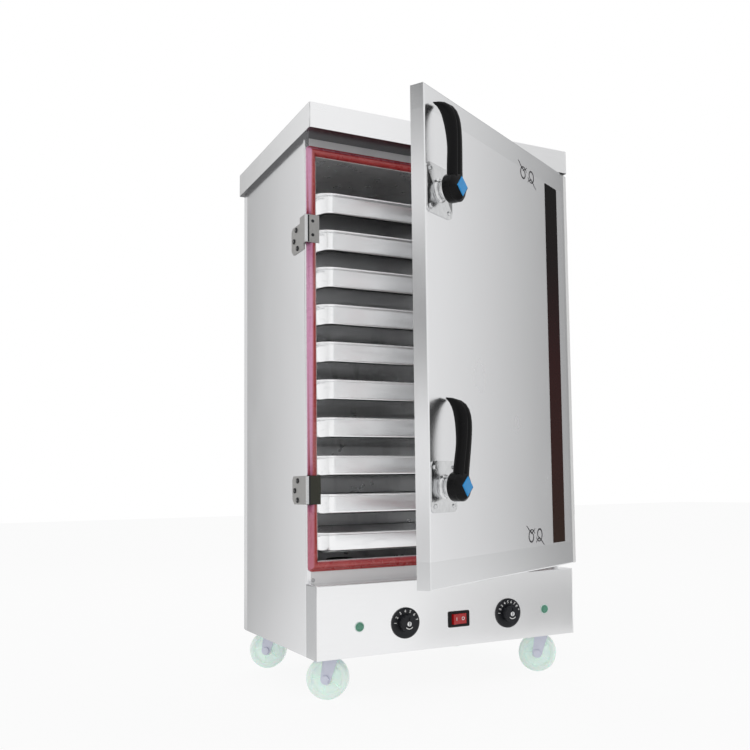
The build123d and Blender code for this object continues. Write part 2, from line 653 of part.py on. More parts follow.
# ------------------------------------------------------------------ hinges
# The body's halves carry the pins, and the door lifts off them.
with BuildPart() as hinge_frame_halves:
    for height in HINGE_HEIGHTS:
        low = height - HINGE_LEAF_H / 2
        leaf_y = FRONT + HINGE_BACK
        with BuildSketch(Plane.XY.offset(low)):
            with Locations((HALF + HINGE_LEAF_T / 2, leaf_y + HINGE_LEAF_D / 2)):
                Rectangle(HINGE_LEAF_T, HINGE_LEAF_D)
        extrude(amount=HINGE_LEAF_H)
        with BuildSketch(Plane.XY.offset(low)):
            with BuildLine():
                Polyline(
                    (HALF, leaf_y),
                    (HALF + HINGE_LEAF_T, leaf_y + 2),
                    (HINGE_AXIS_X + 1, HINGE_AXIS_Y + HINGE_BARREL_R - 1),
                    (HINGE_AXIS_X - HINGE_BARREL_R + 1, HINGE_AXIS_Y + 1),
                    close=True,
                )
            make_face()
            with Locations((HINGE_AXIS_X, HINGE_AXIS_Y)):
                Circle(HINGE_BARREL_R)
        extrude(amount=HINGE_LEAF_H / 2 - FACE_GAP)
        with BuildSketch(Plane.XY.offset(height - FACE_GAP)):
            with Locations((HINGE_AXIS_X, HINGE_AXIS_Y)):
                Circle(HINGE_PIN_R)
        extrude(amount=HINGE_LEAF_H / 2)
hinge_frame_halves.part.label = "hinge_frame_halves"
export_step(hinge_frame_halves.part, "parts/hinge_frame_halves.step")

with BuildPart() as hinge_door_halves:
    for height in HINGE_HEIGHTS:
        leaf_top = height + HINGE_LEAF_H / 2
        with BuildSketch(door_axes.offset(height - HINGE_LEAF_H / 2)):
            with Locations((DOOR_RIGHT + HINGE_LEAF_T / 2, (DOOR_IN + DOOR_OUT) / 2)):
                Rectangle(HINGE_LEAF_T, DOOR_T - 4)
        extrude(amount=HINGE_LEAF_H)
        with BuildSketch(door_axes.offset(height)):
            web_x0, web_x1 = DOOR_RIGHT + HINGE_LEAF_T / 2, 0
            with Locations(((web_x0 + web_x1) / 2, -HINGE_BARREL_R + HINGE_LEAF_T / 2)):
                Rectangle(web_x1 - web_x0, HINGE_LEAF_T)
            Circle(HINGE_BARREL_R)
            Circle(HINGE_PIN_R + HINGE_PIN_FIT, mode=Mode.SUBTRACT)
        extrude(amount=leaf_top - height)
hinge_door_halves.part.label = "hinge_door_halves"
export_step(hinge_door_halves.part, "parts/hinge_door_halves.step")

# ------------------------------------------------------------------ door
with BuildPart() as door_skin:
    with BuildSketch(door_axes.offset(DOOR_Z)):
        with Locations((DOOR_MID_X, (DOOR_IN + DOOR_OUT) / 2)):
            Rectangle(DOOR_W, DOOR_T)
    extrude(amount=DOOR_H)
    face = door_skin.faces().sort_by(SortBy.AREA)[-2:].sort_by(Axis.Y)[0]
    fillet(face.edges(), radius=DOOR_EDGE_R)
    with BuildSketch(door_face(DOOR_MID_X, DOOR_MID_Z, DOOR_IN)):
        Rectangle(DOOR_W - 2 * SHEET, DOOR_H - 2 * SHEET)
    extrude(amount=DOOR_T - SHEET, mode=Mode.SUBTRACT)
    for height in LATCH_HEIGHTS:
        with BuildSketch(door_face(SPINDLE_X, height, DOOR_IN)):
            Circle(SPINDLE_R + SPINDLE_GAP)
        extrude(amount=DOOR_T, mode=Mode.SUBTRACT)
door_skin.part.label = "door_skin"
export_step(door_skin.part, "parts/door_skin.step")

# Inner panel: a sheet inside the skin's edges, with a field pressed towards the chamber.
emboss_w = DOOR_W - 2 * EMBOSS_X
emboss_h = DOOR_H - 2 * EMBOSS_Z
with BuildPart() as door_liner:
    with BuildSketch(door_face(DOOR_MID_X, DOOR_MID_Z, DOOR_IN)):
        Rectangle(DOOR_W - 2 * SHEET, DOOR_H - 2 * SHEET)
    extrude(amount=SHEET)
    with BuildSketch(door_face(DOOR_MID_X, DOOR_MID_Z, DOOR_IN)):
        RectangleRounded(emboss_w, emboss_h, EMBOSS_R)
    extrude(amount=-EMBOSS_H, taper=EMBOSS_TAPER)
    with BuildSketch(door_face(DOOR_MID_X, DOOR_MID_Z, DOOR_IN + SHEET)):
        RectangleRounded(emboss_w - 2 * SHEET, emboss_h - 2 * SHEET, EMBOSS_R - SHEET)
    extrude(amount=2 * SHEET, mode=Mode.SUBTRACT)
    with BuildSketch(door_face(DOOR_MID_X, DOOR_MID_Z, DOOR_IN + SHEET)):
        RectangleRounded(emboss_w - 2 * SHEET, emboss_h - 2 * SHEET, EMBOSS_R - SHEET)
    extrude(amount=-(EMBOSS_H - 2 * SHEET), taper=EMBOSS_TAPER, mode=Mode.SUBTRACT)
    for height in LATCH_HEIGHTS:
        with BuildSketch(door_face(SPINDLE_X, height, DOOR_IN)):
            Circle(SPINDLE_R + SPINDLE_GAP)
        extrude(amount=SHEET, mode=Mode.SUBTRACT)
door_liner.part.label = "door_liner"
export_step(door_liner.part, "parts/door_liner.step")

with BuildPart() as door_core:
    with BuildSketch(door_face(DOOR_MID_X, DOOR_MID_Z, DOOR_IN - SHEET)):
        Rectangle(DOOR_W - 2 * (SHEET + DOOR_EDGE_R), DOOR_H - 2 * (SHEET + DOOR_EDGE_R))
        for height in LATCH_HEIGHTS:
            with Locations((SPINDLE_X - DOOR_MID_X, height - DOOR_MID_Z)):
                Circle(SPINDLE_R + 2 * SPINDLE_GAP, mode=Mode.SUBTRACT)
    extrude(amount=DOOR_T - 2 * SHEET)
door_core.part.label = "door_core"
export_step(door_core.part, "parts/door_core.step")

with BuildPart() as door_strip:
    strip_x = DOOR_RIGHT - STRIP_RIGHT - STRIP_W / 2
    strip_h = DOOR_H - STRIP_LOW - STRIP_TOP
    with BuildSketch(door_face(strip_x, DOOR_Z + STRIP_LOW + strip_h / 2)):
        Rectangle(STRIP_W, strip_h)
    extrude(amount=STRIP_T)
door_strip.part.label = "door_strip"
export_step(door_strip.part, "parts/door_strip.step")

# ------------------------------------------------------------------ latches
# Cast bases: a plate with rounded corners, four screws and a boss for the spindle.
SCREW_PITCH_X = BASE_PLATE_W - 2 * BASE_SCREW_IN
SCREW_PITCH_Z = BASE_PLATE_H - 2 * BASE_SCREW_IN
with BuildPart() as latch_bases:
    for height in LATCH_HEIGHTS:
        with BuildSketch(door_face(SPINDLE_X, height)):
            RectangleRounded(BASE_PLATE_W, BASE_PLATE_H, BASE_PLATE_R)
        extrude(amount=BASE_PLATE_T)
        with BuildSketch(door_face(SPINDLE_X, height)):
            Circle(BOSS_R)
        extrude(amount=BASE_PLATE_T + BOSS_H)
        with BuildSketch(door_face(SPINDLE_X, height)):
            with GridLocations(SCREW_PITCH_X, SCREW_PITCH_Z, 2, 2):
                Circle(SCREW_HEAD_R)
        extrude(amount=BASE_PLATE_T + SCREW_HEAD_H)
        with BuildSketch(door_face(SPINDLE_X, height)):
            Circle(SPINDLE_R + SPINDLE_FIT)
        extrude(amount=BASE_PLATE_T + BOSS_H, mode=Mode.SUBTRACT)
latch_bases.part.label = "latch_bases"
export_step(latch_bases.part, "parts/latch_bases.step")

# Levers: a hub, and an arm whose back is hollow for the fingers and whose tip curls in.
BORE_DEPTH = HUB_H / 2
ARM_OUT = HUB_H - 2.0     # arm's outer face above the hub's foot
ARM_IN = ARM_OUT - ARM_T
for height, lean, name in zip(LATCH_HEIGHTS, LATCH_LEAN, ("lower", "upper")):
    hub_face = door_face(SPINDLE_X, height, HUB_OUT, lean)
    # side view of the lever: x runs outwards from the door and y up along the arm
    side_view = Plane(origin=hub_face.origin, x_dir=hub_face.z_dir, z_dir=hub_face.x_dir * -1)
    with BuildPart() as handle_lever:
        with BuildSketch(side_view):
            with BuildLine():
                Line((ARM_IN, 0), (ARM_OUT, 0))
                Spline(
                    (ARM_OUT, 0), (ARM_OUT + 6, ARM_L * 0.55), (ARM_OUT - 4, ARM_L * 0.9),
                    (-ARM_T * 0.75, ARM_L), tangents=((0.03, 1), (-1, 0.0)),
                )
                Spline(
                    (-ARM_T * 0.75, ARM_L), (ARM_IN - 3, ARM_L * 0.84),
                    (ARM_IN + 5, ARM_L * 0.5), (ARM_IN, 0),
                    tangents=((1, -0.3), (-0.03, -1)),
                )
            make_face()
        extrude(amount=ARM_W / 2, both=True)
        with BuildSketch(hub_face):
            with BuildLine():
                Polyline(
                    (-ARM_W / 2, 0), (ARM_W / 2, 0), (ARM_TIP_W / 2, ARM_L + 1),
                    (-ARM_TIP_W / 2, ARM_L + 1), close=True,
                )
            make_face()
        extrude(amount=2 * HUB_H, both=True, mode=Mode.INTERSECT)
        long_edges = handle_lever.edges().filter_by(GeomType.BSPLINE)
        chamfer(long_edges, length=ARM_EDGE)
        with BuildSketch(hub_face):
            Circle(HUB_R)
        extrude(amount=HUB_H)
        with BuildSketch(hub_face.offset(HUB_H)):
            Rectangle(BADGE_SEAT, BADGE_SEAT, rotation=45)
        extrude(amount=BADGE_T)
        with BuildSketch(hub_face):
            Circle(SPINDLE_R + SCREW_FIT / 2)
        extrude(amount=BORE_DEPTH, mode=Mode.SUBTRACT)
    handle_lever.part.label = f"handle_lever_{name}"
    export_step(handle_lever.part, f"parts/handle_lever_{name}.step")

    with BuildPart() as handle_badge:
        with BuildSketch(hub_face.offset(HUB_H + BADGE_T)):
            Rectangle(BADGE_SIDE, BADGE_SIDE, rotation=45)
        extrude(amount=BADGE_T)
        top = handle_badge.faces().sort_by(lambda f: f.center().dot(hub_face.z_dir))[-1]
        chamfer(top.edges(), length=BADGE_EDGE)
    handle_badge.part.label = f"handle_badge_{name}"
    export_step(handle_badge.part, f"parts/handle_badge_{name}.step")

    # spindle through the door, with the cam that catches behind the keeper
    cam_back = door_face(SPINDLE_X, height, CAM_FACE + CAM_T, lean)
    with BuildPart() as latch_cam:
        with BuildSketch(cam_back):
            reach = CAM_L - CAM_W / 2
            with Locations((0, -reach / 2)):
                SlotOverall(reach + CAM_W, CAM_W, rotation=90)
        extrude(amount=CAM_T)
        with BuildSketch(cam_back):
            RegularPolygon(SPINDLE_R * 1.45, 6)
        extrude(amount=-SPINDLE_R * 0.7)
        with BuildSketch(cam_back):
            Circle(SPINDLE_R)
        extrude(amount=CAM_FACE + CAM_T - HUB_OUT + BORE_DEPTH - 1)
    latch_cam.part.label = f"latch_cam_{name}"
    export_step(latch_cam.part, f"parts/latch_cam_{name}.step")

# Keepers: an angle screwed to the body's side, whose front leaf the cams catch behind.
KEEPER_OUT = HALF + KEEPER_T
with BuildPart() as keepers:
    for height in LATCH_HEIGHTS:
        upper = height == LATCH_HEIGHTS[1]
        low, high = UPPER_KEEPER_WIDE if upper else (-KEEPER_DOWN, KEEPER_UP)
        with BuildSketch(Plane.XY.offset(height - KEEPER_DOWN)):
            with BuildLine():
                Polyline(
                    (-HALF, FRONT + KEEPER_NARROW_D), (-KEEPER_OUT, FRONT + KEEPER_NARROW_D),
                    (-KEEPER_OUT, GASKET_FRONT), (-HALF + KEEPER_REACH, GASKET_FRONT),
                    (-HALF + KEEPER_REACH, GASKET_FRONT + KEEPER_T), (-HALF, GASKET_FRONT + KEEPER_T),
                    close=True,
                )
            make_face()
        extrude(amount=KEEPER_UP + KEEPER_DOWN)
        leaf_side = Plane(origin=(-HALF, FRONT, height), x_dir=(0, -1, 0), z_dir=(-1, 0, 0))
        with BuildSketch(leaf_side):
            with BuildLine():
                Polyline(
                    (0, low), (-KEEPER_D + 12, low), (-KEEPER_D, low + 12),
                    (-KEEPER_D, high - 8), (-KEEPER_D + 8, high), (0, high), close=True,
                )
            make_face()
        extrude(amount=KEEPER_T)
        with BuildSketch(leaf_side):
            with Locations([(-y, z) for y, z in keeper_screws(height)]):
                Circle(SCREW_SHANK_R + SCREW_FIT)
        extrude(amount=KEEPER_T, mode=Mode.SUBTRACT)
        if upper:
            with BuildSketch(front_plane(-HALF + KEEPER_REACH / 2, height, GASKET_FRONT + KEEPER_T)):
                with Locations((0, KEEPER_UP / 2), (0, -KEEPER_DOWN / 2)):
                    Circle(SCREW_SHANK_R)
            extrude(amount=KEEPER_T, mode=Mode.SUBTRACT)
        with BuildSketch(leaf_side.offset(KEEPER_T)):
            with Locations([(-y, z) for y, z in keeper_screws(height)]):
                Circle(SCREW_HEAD_R)
        extrude(amount=SCREW_HEAD_H)
        with BuildSketch(leaf_side.offset(KEEPER_T + SCREW_HEAD_H / 2)):
            with Locations([(-y, z) for y, z in keeper_screws(height)]):
                Circle(SCREW_SHANK_R)
        extrude(amount=-(KEEPER_T + SHEET + SCREW_HEAD_H / 2 + INSULATION_GAP - FACE_GAP))
keepers.part.label = "keepers"
export_step(keepers.part, "parts/keepers.step")

# ------------------------------------------------------------------ controls
BUSH_R = 2 * KNOB_SHAFT_R - SCREW_FIT
for x, size, depth, name in (
    (THERMOSTAT_X, 44.0, 32.0, "thermostat_body"),
    (TIMER_X, 52.0, 38.0, "timer_body"),
):
    with BuildPart() as regulator:
        behind = front_plane(x, KNOB_Z, BOX_FRONT + SHEET)
        with BuildSketch(behind):
            RectangleRounded(size, size, 4)
        extrude(amount=-depth)
        with BuildSketch(behind):
            Circle(BUSH_R)
        extrude(amount=SHEET)
        with BuildSketch(behind):
            Circle(KNOB_SHAFT_R)
        extrude(amount=SHEET + KNOB_SKIRT_H + KNOB_GRIP_H / 2)
        with BuildSketch(behind.offset(-depth)):
            with GridLocations(size / 3, 0, 3, 1):
                Rectangle(TERMINAL_T, TERMINAL_W)
        extrude(amount=-TERMINAL_L)
    regulator.part.label = name
    export_step(regulator.part, f"parts/{name}.step")

for x, name in ((THERMOSTAT_X, "thermostat_knob"), (TIMER_X, "timer_knob")):
    knob_face = front_plane(x, KNOB_Z, BOX_FRONT - FACE_GAP)
    with BuildPart() as knob:
        with BuildSketch(knob_face):
            Circle(KNOB_SKIRT_R)
        extrude(amount=KNOB_SKIRT_H)
        chamfer(knob.edges().filter_by(GeomType.CIRCLE).sort_by(Axis.Y)[0], 2.0, 4.0)
        with BuildSketch(knob_face):
            Circle(KNOB_GRIP_R)
            with PolarLocations(KNOB_GRIP_R + 2 * KNOB_FLUTE_R / 3, KNOB_FLUTES):
                Circle(KNOB_FLUTE_R, mode=Mode.SUBTRACT)
        extrude(amount=KNOB_SKIRT_H + KNOB_GRIP_H)
        with BuildSketch(knob_face.offset(KNOB_SKIRT_H + KNOB_GRIP_H)):
            SlotOverall(1.5 * KNOB_GRIP_R, 4.0, rotation=90)
        extrude(amount=-2.0, mode=Mode.SUBTRACT)
        with BuildSketch(knob_face):
            Circle(KNOB_SHAFT_R + SCREW_FIT)
        extrude(amount=KNOB_SKIRT_H + KNOB_GRIP_H / 2 + 1, mode=Mode.SUBTRACT)
    knob.part.label = name
    export_step(knob.part, f"parts/{name}.step")

switch_face = front_plane(SWITCH_X, SWITCH_Z, BOX_FRONT)
with BuildPart() as switch_housing:
    with BuildSketch(switch_face):
        RectangleRounded(SWITCH_W, SWITCH_H, 4)
    extrude(amount=SWITCH_BEZEL_T)
    chamfer(switch_housing.faces().sort_by(Axis.Y)[0].edges(), length=1.2)
    with BuildSketch(switch_face):
        Rectangle(SWITCH_W - 2 * SWITCH_BEZEL, SWITCH_H - 2 * SWITCH_BEZEL)
    extrude(amount=-SWITCH_D)
    with BuildSketch(switch_face.offset(SWITCH_BEZEL_T)):
        Rectangle(ROCKER_W + 2 * ROCKER_GAP, ROCKER_H + 1)
    extrude(amount=-(SWITCH_BEZEL_T + ROCKER_WELL), mode=Mode.SUBTRACT)
    with BuildSketch(switch_face.offset(-SWITCH_D)):
        with GridLocations(2 * TERMINAL_W, 2 * TERMINAL_W, 3, 2):
            Rectangle(TERMINAL_W, TERMINAL_T)
    extrude(amount=-TERMINAL_L)
switch_housing.part.label = "switch_housing"
export_step(switch_housing.part, "parts/switch_housing.step")

# Rocker: seen from above, a shallow vee over a rounded heel, tilted to one side.
tilt = radians(ROCKER_TILT)
rocker_plane = Plane(
    origin=(SWITCH_X, BOX_FRONT + ROCKER_AXIS, SWITCH_Z - ROCKER_H / 2),
    x_dir=(cos(tilt), sin(tilt), 0), z_dir=(0, 0, 1),
)
with BuildPart() as power_rocker:
    with BuildSketch(rocker_plane):
        with BuildLine():
            Polyline(
                (-ROCKER_W / 2, 0), (-ROCKER_W / 2, -11.4), (0, -9.2),
                (ROCKER_W / 2, -11.4), (ROCKER_W / 2, 0),
            )
            ThreePointArc((ROCKER_W / 2, 0), (0, 4.5), (-ROCKER_W / 2, 0))
        make_face()
    extrude(amount=ROCKER_H)
power_rocker.part.label = "power_rocker"
export_step(power_rocker.part, "parts/power_rocker.step")

with BuildPart() as indicator_lamps:
    for x in LAMP_XS:
        lamp_face = front_plane(x, LAMP_Z, BOX_FRONT)
        with BuildSketch(lamp_face):
            Circle(LAMP_BODY_R)
        extrude(amount=-LAMP_BODY_L)
        with BuildSketch(lamp_face):
            Circle(LAMP_R)
        extrude(amount=LAMP_RIM_T)
        with BuildSketch(lamp_face.offset(LAMP_RIM_T)):
            Circle(LAMP_BODY_R)
        extrude(amount=LAMP_DOME_H, taper=28)
indicator_lamps.part.label = "indicator_lamps"
export_step(indicator_lamps.part, "parts/indicator_lamps.step")

# Contactor: the power relay on the base pan, stepped, with its screw terminals in wells.
contactor_y = FRONT + CONTACTOR_BACK
with BuildPart() as contactor:
    with BuildSketch(Plane.XY.offset(DECK_Z + SHEET)):
        with Locations((CONTACTOR_X, contactor_y)):
            Rectangle(CONTACTOR[0], CONTACTOR[1])
    extrude(amount=CONTACTOR_STEP)
    with BuildSketch(Plane.XY.offset(DECK_Z + SHEET)):
        with Locations((CONTACTOR_X, contactor_y)):
            Rectangle(CONTACTOR[0] * 0.9, CONTACTOR[1] * 0.55)
    extrude(amount=CONTACTOR[2])
    with BuildSketch(Plane.XY.offset(DECK_Z + SHEET + CONTACTOR_STEP)):
        with Locations((CONTACTOR_X, contactor_y)):
            with GridLocations(CONTACTOR[0] * 0.235, CONTACTOR[1] * 0.82, 4, 2):
                Rectangle(CONTACTOR[0] * 0.15, CONTACTOR[1] * 0.11)
    extrude(amount=-CONTACTOR_STEP * 0.27, mode=Mode.SUBTRACT)
contactor.part.label = "contactor"
export_step(contactor.part, "parts/contactor.step")

# ------------------------------------------------------------------ water and steam
# Heaters: hairpin tubes lying in the tank, whose legs pass down through its floor.
leg_y = TRAY_FRONT + HEATER_FRONT
bend_y = LINER_BACK - HEATER_BACK
with BuildPart() as heating_elements:
    for x in (-HEATER_X, HEATER_X):
        left, right = x - HEATER_PITCH / 2, x + HEATER_PITCH / 2
        top_z = TANK_FLOOR + HEATER_UP
        leg_z = TANK_FLOOR - HEATER_LEG
        with BuildLine() as route:
            FilletPolyline(
                (left, leg_y, leg_z), (left, leg_y, top_z), (left, bend_y, top_z),
                (right, bend_y, top_z), (right, leg_y, top_z), (right, leg_y, leg_z),
                radius=HEATER_BEND,
            )
        with BuildSketch(Plane(origin=(left, leg_y, leg_z), z_dir=(0, 0, 1))):
            Circle(HEATER_R)
        sweep(path=route.line)
        with BuildSketch(Plane.XY.offset(TANK_FLOOR + FACE_GAP)):
            with Locations((left, leg_y), (right, leg_y)):
                RegularPolygon(2 * HEATER_R, 6)
        extrude(amount=HEATER_NUT_UP)
        with BuildSketch(Plane.XY.offset(TANK_FLOOR - LINER_SHEET - FACE_GAP)):
            with Locations((left, leg_y), (right, leg_y)):
                RegularPolygon(2 * HEATER_R, 6)
        extrude(amount=-HEATER_NUT_DOWN)
heating_elements.part.label = "heating_elements"
export_step(heating_elements.part, "parts/heating_elements.step")

# Float valve: a threaded inlet through the back, with a forked block for the arm.
thread_y = LINER_BACK - 3 * INLET_NUT_T
block_y = LINER_BACK - VALVE_BLOCK_BACK
with BuildPart() as float_valve:
    with BuildSketch(back_plane(INLET_X, PIPE_Z, thread_y)):
        Circle(INLET_R)
    extrude(amount=BACK + INLET_L - thread_y)
    for y in (BACK, LINER_BACK - INLET_NUT_T):
        with BuildSketch(back_plane(INLET_X, PIPE_Z, y)):
            RegularPolygon(1.6 * INLET_R, 6)
        extrude(amount=INLET_NUT_T)
    with BuildSketch(back_plane(INLET_X, PIPE_Z, block_y)):
        RectangleRounded(VALVE_BLOCK[0], VALVE_BLOCK[1], 4)
    extrude(amount=4 * INLET_NUT_T)
    with BuildSketch(Plane(origin=(INLET_X, PIVOT_Y, PIPE_Z), z_dir=(1, 0, 0))):
        Circle(PIVOT_R)
    extrude(amount=PIVOT_HALF, both=True)
    sheet_box(
        (INLET_X - PIVOT_HALF, PIVOT_Y, PIPE_Z - PIVOT_R),
        (INLET_X + PIVOT_HALF, block_y, PIPE_Z + PIVOT_R),
    )
    sheet_box(
        (INLET_X - ARM_GAP / 2 - FACE_GAP, PIVOT_Y - 1.2 * PIVOT_R, PIPE_Z - PIVOT_HALF),
        (INLET_X + ARM_GAP / 2 + FACE_GAP, PIVOT_Y + 1.4 * PIVOT_R, PIPE_Z + PIVOT_HALF),
        mode=Mode.SUBTRACT,
    )
    with BuildSketch(Plane(origin=(INLET_X, PIVOT_Y, PIPE_Z), z_dir=(1, 0, 0))):
        Circle(FLOAT_PIN_R)
    extrude(amount=FLOAT_PIN_HALF, both=True)
    with BuildSketch(back_plane(INLET_X, PIPE_Z, BACK + INLET_L)):
        Circle(INLET_R * 0.62)
    extrude(amount=-(BACK + INLET_L - LINER_BACK), mode=Mode.SUBTRACT)
float_valve.part.label = "float_valve"
export_step(float_valve.part, "parts/float_valve.step")

with BuildPart() as float_arm:
    pivot = Plane(origin=(INLET_X, PIVOT_Y, PIPE_Z), z_dir=(1, 0, 0))
    with BuildSketch(pivot):
        Circle(FLOAT_EYE_R)
    extrude(amount=ARM_GAP / 2, both=True)
    along = Vector(0, -FLOAT_L, -FLOAT_DROP)
    with BuildSketch(Plane(origin=(INLET_X, PIVOT_Y, PIPE_Z), z_dir=along)):
        Circle(FLOAT_ROD_R)
    extrude(amount=FLOAT_L)
    with Locations((INLET_X, PIVOT_Y - FLOAT_L, PIPE_Z - FLOAT_DROP)):
        Sphere(FLOAT_R)
    with BuildSketch(pivot):
        Circle(FLOAT_PIN_R + SCREW_FIT)
    extrude(amount=ARM_GAP, both=True, mode=Mode.SUBTRACT)
float_arm.part.label = "float_arm"
export_step(float_arm.part, "parts/float_arm.step")

# Drain: a pipe from the tank's floor to a ball valve behind the cabinet.
with BuildPart() as drain_valve:
    with BuildLine() as drain_route:
        FilletPolyline(
            (DRAIN_X, DRAIN_Y, TANK_FLOOR), (DRAIN_X, DRAIN_Y, DRAIN_Z),
            (DRAIN_X, VALVE_Y + VALVE_L + OUTLET_L, DRAIN_Z), radius=1.5 * DRAIN_R,
        )
    with BuildSketch(Plane(origin=(DRAIN_X, DRAIN_Y, TANK_FLOOR), z_dir=(0, 0, -1))):
        Circle(DRAIN_R)
    sweep(path=drain_route.line)
    with BuildSketch(back_plane(DRAIN_X, DRAIN_Z, VALVE_Y)):
        RectangleRounded(2 * VALVE_HALF, 2 * VALVE_HALF, VALVE_CORNER_R)
    extrude(amount=VALVE_L)
    with BuildSketch(Plane.XY.offset(DRAIN_Z)):
        with Locations((DRAIN_X, VALVE_Y + VALVE_L / 2)):
            Circle(VALVE_NECK_R)
    extrude(amount=VALVE_HALF + VALVE_NECK_H)
    with BuildSketch(Plane.XY.offset(DRAIN_Z)):
        with Locations((DRAIN_X, VALVE_Y + VALVE_L / 2)):
            Circle(VALVE_STEM_R)
    extrude(amount=VALVE_HALF + VALVE_STEM_H)
    with BuildSketch(Plane(origin=(DRAIN_X, DRAIN_Y, TANK_FLOOR), z_dir=(0, 0, -1))):
        Circle(DRAIN_R - DRAIN_WALL)
    sweep(path=drain_route.line, mode=Mode.SUBTRACT)
drain_valve.part.label = "drain_valve"
export_step(drain_valve.part, "parts/drain_valve.step")

with BuildPart() as drain_lever:
    with BuildSketch(Plane.XY.offset(DRAIN_Z + VALVE_HALF + VALVE_NECK_H + FACE_GAP)):
        with Locations((DRAIN_X - (DRAIN_LEVER_L - DRAIN_LEVER_W) / 2, VALVE_Y + VALVE_L / 2)):
            SlotOverall(DRAIN_LEVER_L, DRAIN_LEVER_W)
        with Locations((DRAIN_X, VALVE_Y + VALVE_L / 2)):
            Circle(VALVE_STEM_R + SCREW_FIT, mode=Mode.SUBTRACT)
    extrude(amount=DRAIN_LEVER_T)
drain_lever.part.label = "drain_lever"
export_step(drain_lever.part, "parts/drain_lever.step")

with BuildPart() as steam_vent:
    with BuildSketch(back_plane(0, VENT_Z, LINER_BACK)):
        Circle(VENT_R)
    extrude(amount=BACK + VENT_L - LINER_BACK)
    with BuildSketch(back_plane(0, VENT_Z, BACK)):
        Circle(VENT_FLANGE_R)
    extrude(amount=VENT_FLANGE_T)
    with BuildSketch(back_plane(0, VENT_Z, LINER_BACK)):
        Circle(VENT_R - VENT_WALL)
    extrude(amount=BACK + VENT_L - LINER_BACK, mode=Mode.SUBTRACT)
steam_vent.part.label = "steam_vent"
export_step(steam_vent.part, "parts/steam_vent.step")

with BuildPart() as cable_gland:
    with BuildSketch(back_plane(GLAND_X, GLAND_Z, BACK - SHEET - GLAND_INSIDE)):
        Circle(GLAND_THREAD_R)
    extrude(amount=SHEET + GLAND_INSIDE)
    with BuildSketch(back_plane(GLAND_X, GLAND_Z)):
        RegularPolygon(1.25 * GLAND_R, 6)
    extrude(amount=GLAND_NUT_T)
    with BuildSketch(back_plane(GLAND_X, GLAND_Z)):
        Circle(GLAND_R)
    extrude(amount=GLAND_DOME_H)
    chamfer(cable_gland.faces().sort_by(Axis.Y)[-1].edges(), length=GLAND_R / 4)
    with BuildSketch(back_plane(GLAND_X, GLAND_Z, BACK - SHEET)):
        RegularPolygon(1.2 * GLAND_R, 6)
    extrude(amount=-GLAND_NUT_T)
    with BuildSketch(back_plane(GLAND_X, GLAND_Z, BACK - SHEET - GLAND_INSIDE)):
        Circle(GLAND_R / 2)
    extrude(amount=SHEET + GLAND_INSIDE + GLAND_DOME_H, mode=Mode.SUBTRACT)
cable_gland.part.label = "cable_gland"
export_step(cable_gland.part, "parts/cable_gland.step")

# ------------------------------------------------------------------ casters
CORNERS = (
    ("front_left", -CASTER_X, CASTER_YS[0]),
    ("front_right", CASTER_X, CASTER_YS[0]),
    ("back_left", -CASTER_X, CASTER_YS[1]),
    ("back_right", CASTER_X, CASTER_YS[1]),
)
CROWN_TOP = CROWN_Z + CROWN_T
with BuildPart() as caster_plates:
    for label, x, y in CORNERS:
        with BuildSketch(Plane.XY.offset(DECK_Z - PLATE_T)):
            with Locations((x, y)):
                RectangleRounded(PLATE_SIDE, PLATE_SIDE, 8)
                with GridLocations(PLATE_BOLTS, PLATE_BOLTS, 2, 2):
                    Circle(PLATE_BOLT_R, mode=Mode.SUBTRACT)
        extrude(amount=PLATE_T)
        with BuildSketch(Plane.XY.offset(CROWN_TOP + FACE_GAP)):
            with Locations((x, y)):
                Circle(RACE_R)
        extrude(amount=DECK_Z - PLATE_T - CROWN_TOP - FACE_GAP)
        with BuildSketch(Plane.XY.offset(CROWN_Z - FACE_GAP)):
            with Locations((x, y)):
                Circle(KINGPIN_R)
        extrude(amount=CROWN_T + 3 * FACE_GAP)
        with BuildSketch(Plane.XY.offset(CROWN_Z - FACE_GAP)):
            with Locations((x, y)):
                Circle(KINGPIN_HEAD_R)
        extrude(amount=-KINGPIN_HEAD_H)
caster_plates.part.label = "caster_plates"
export_step(caster_plates.part, "parts/caster_plates.step")

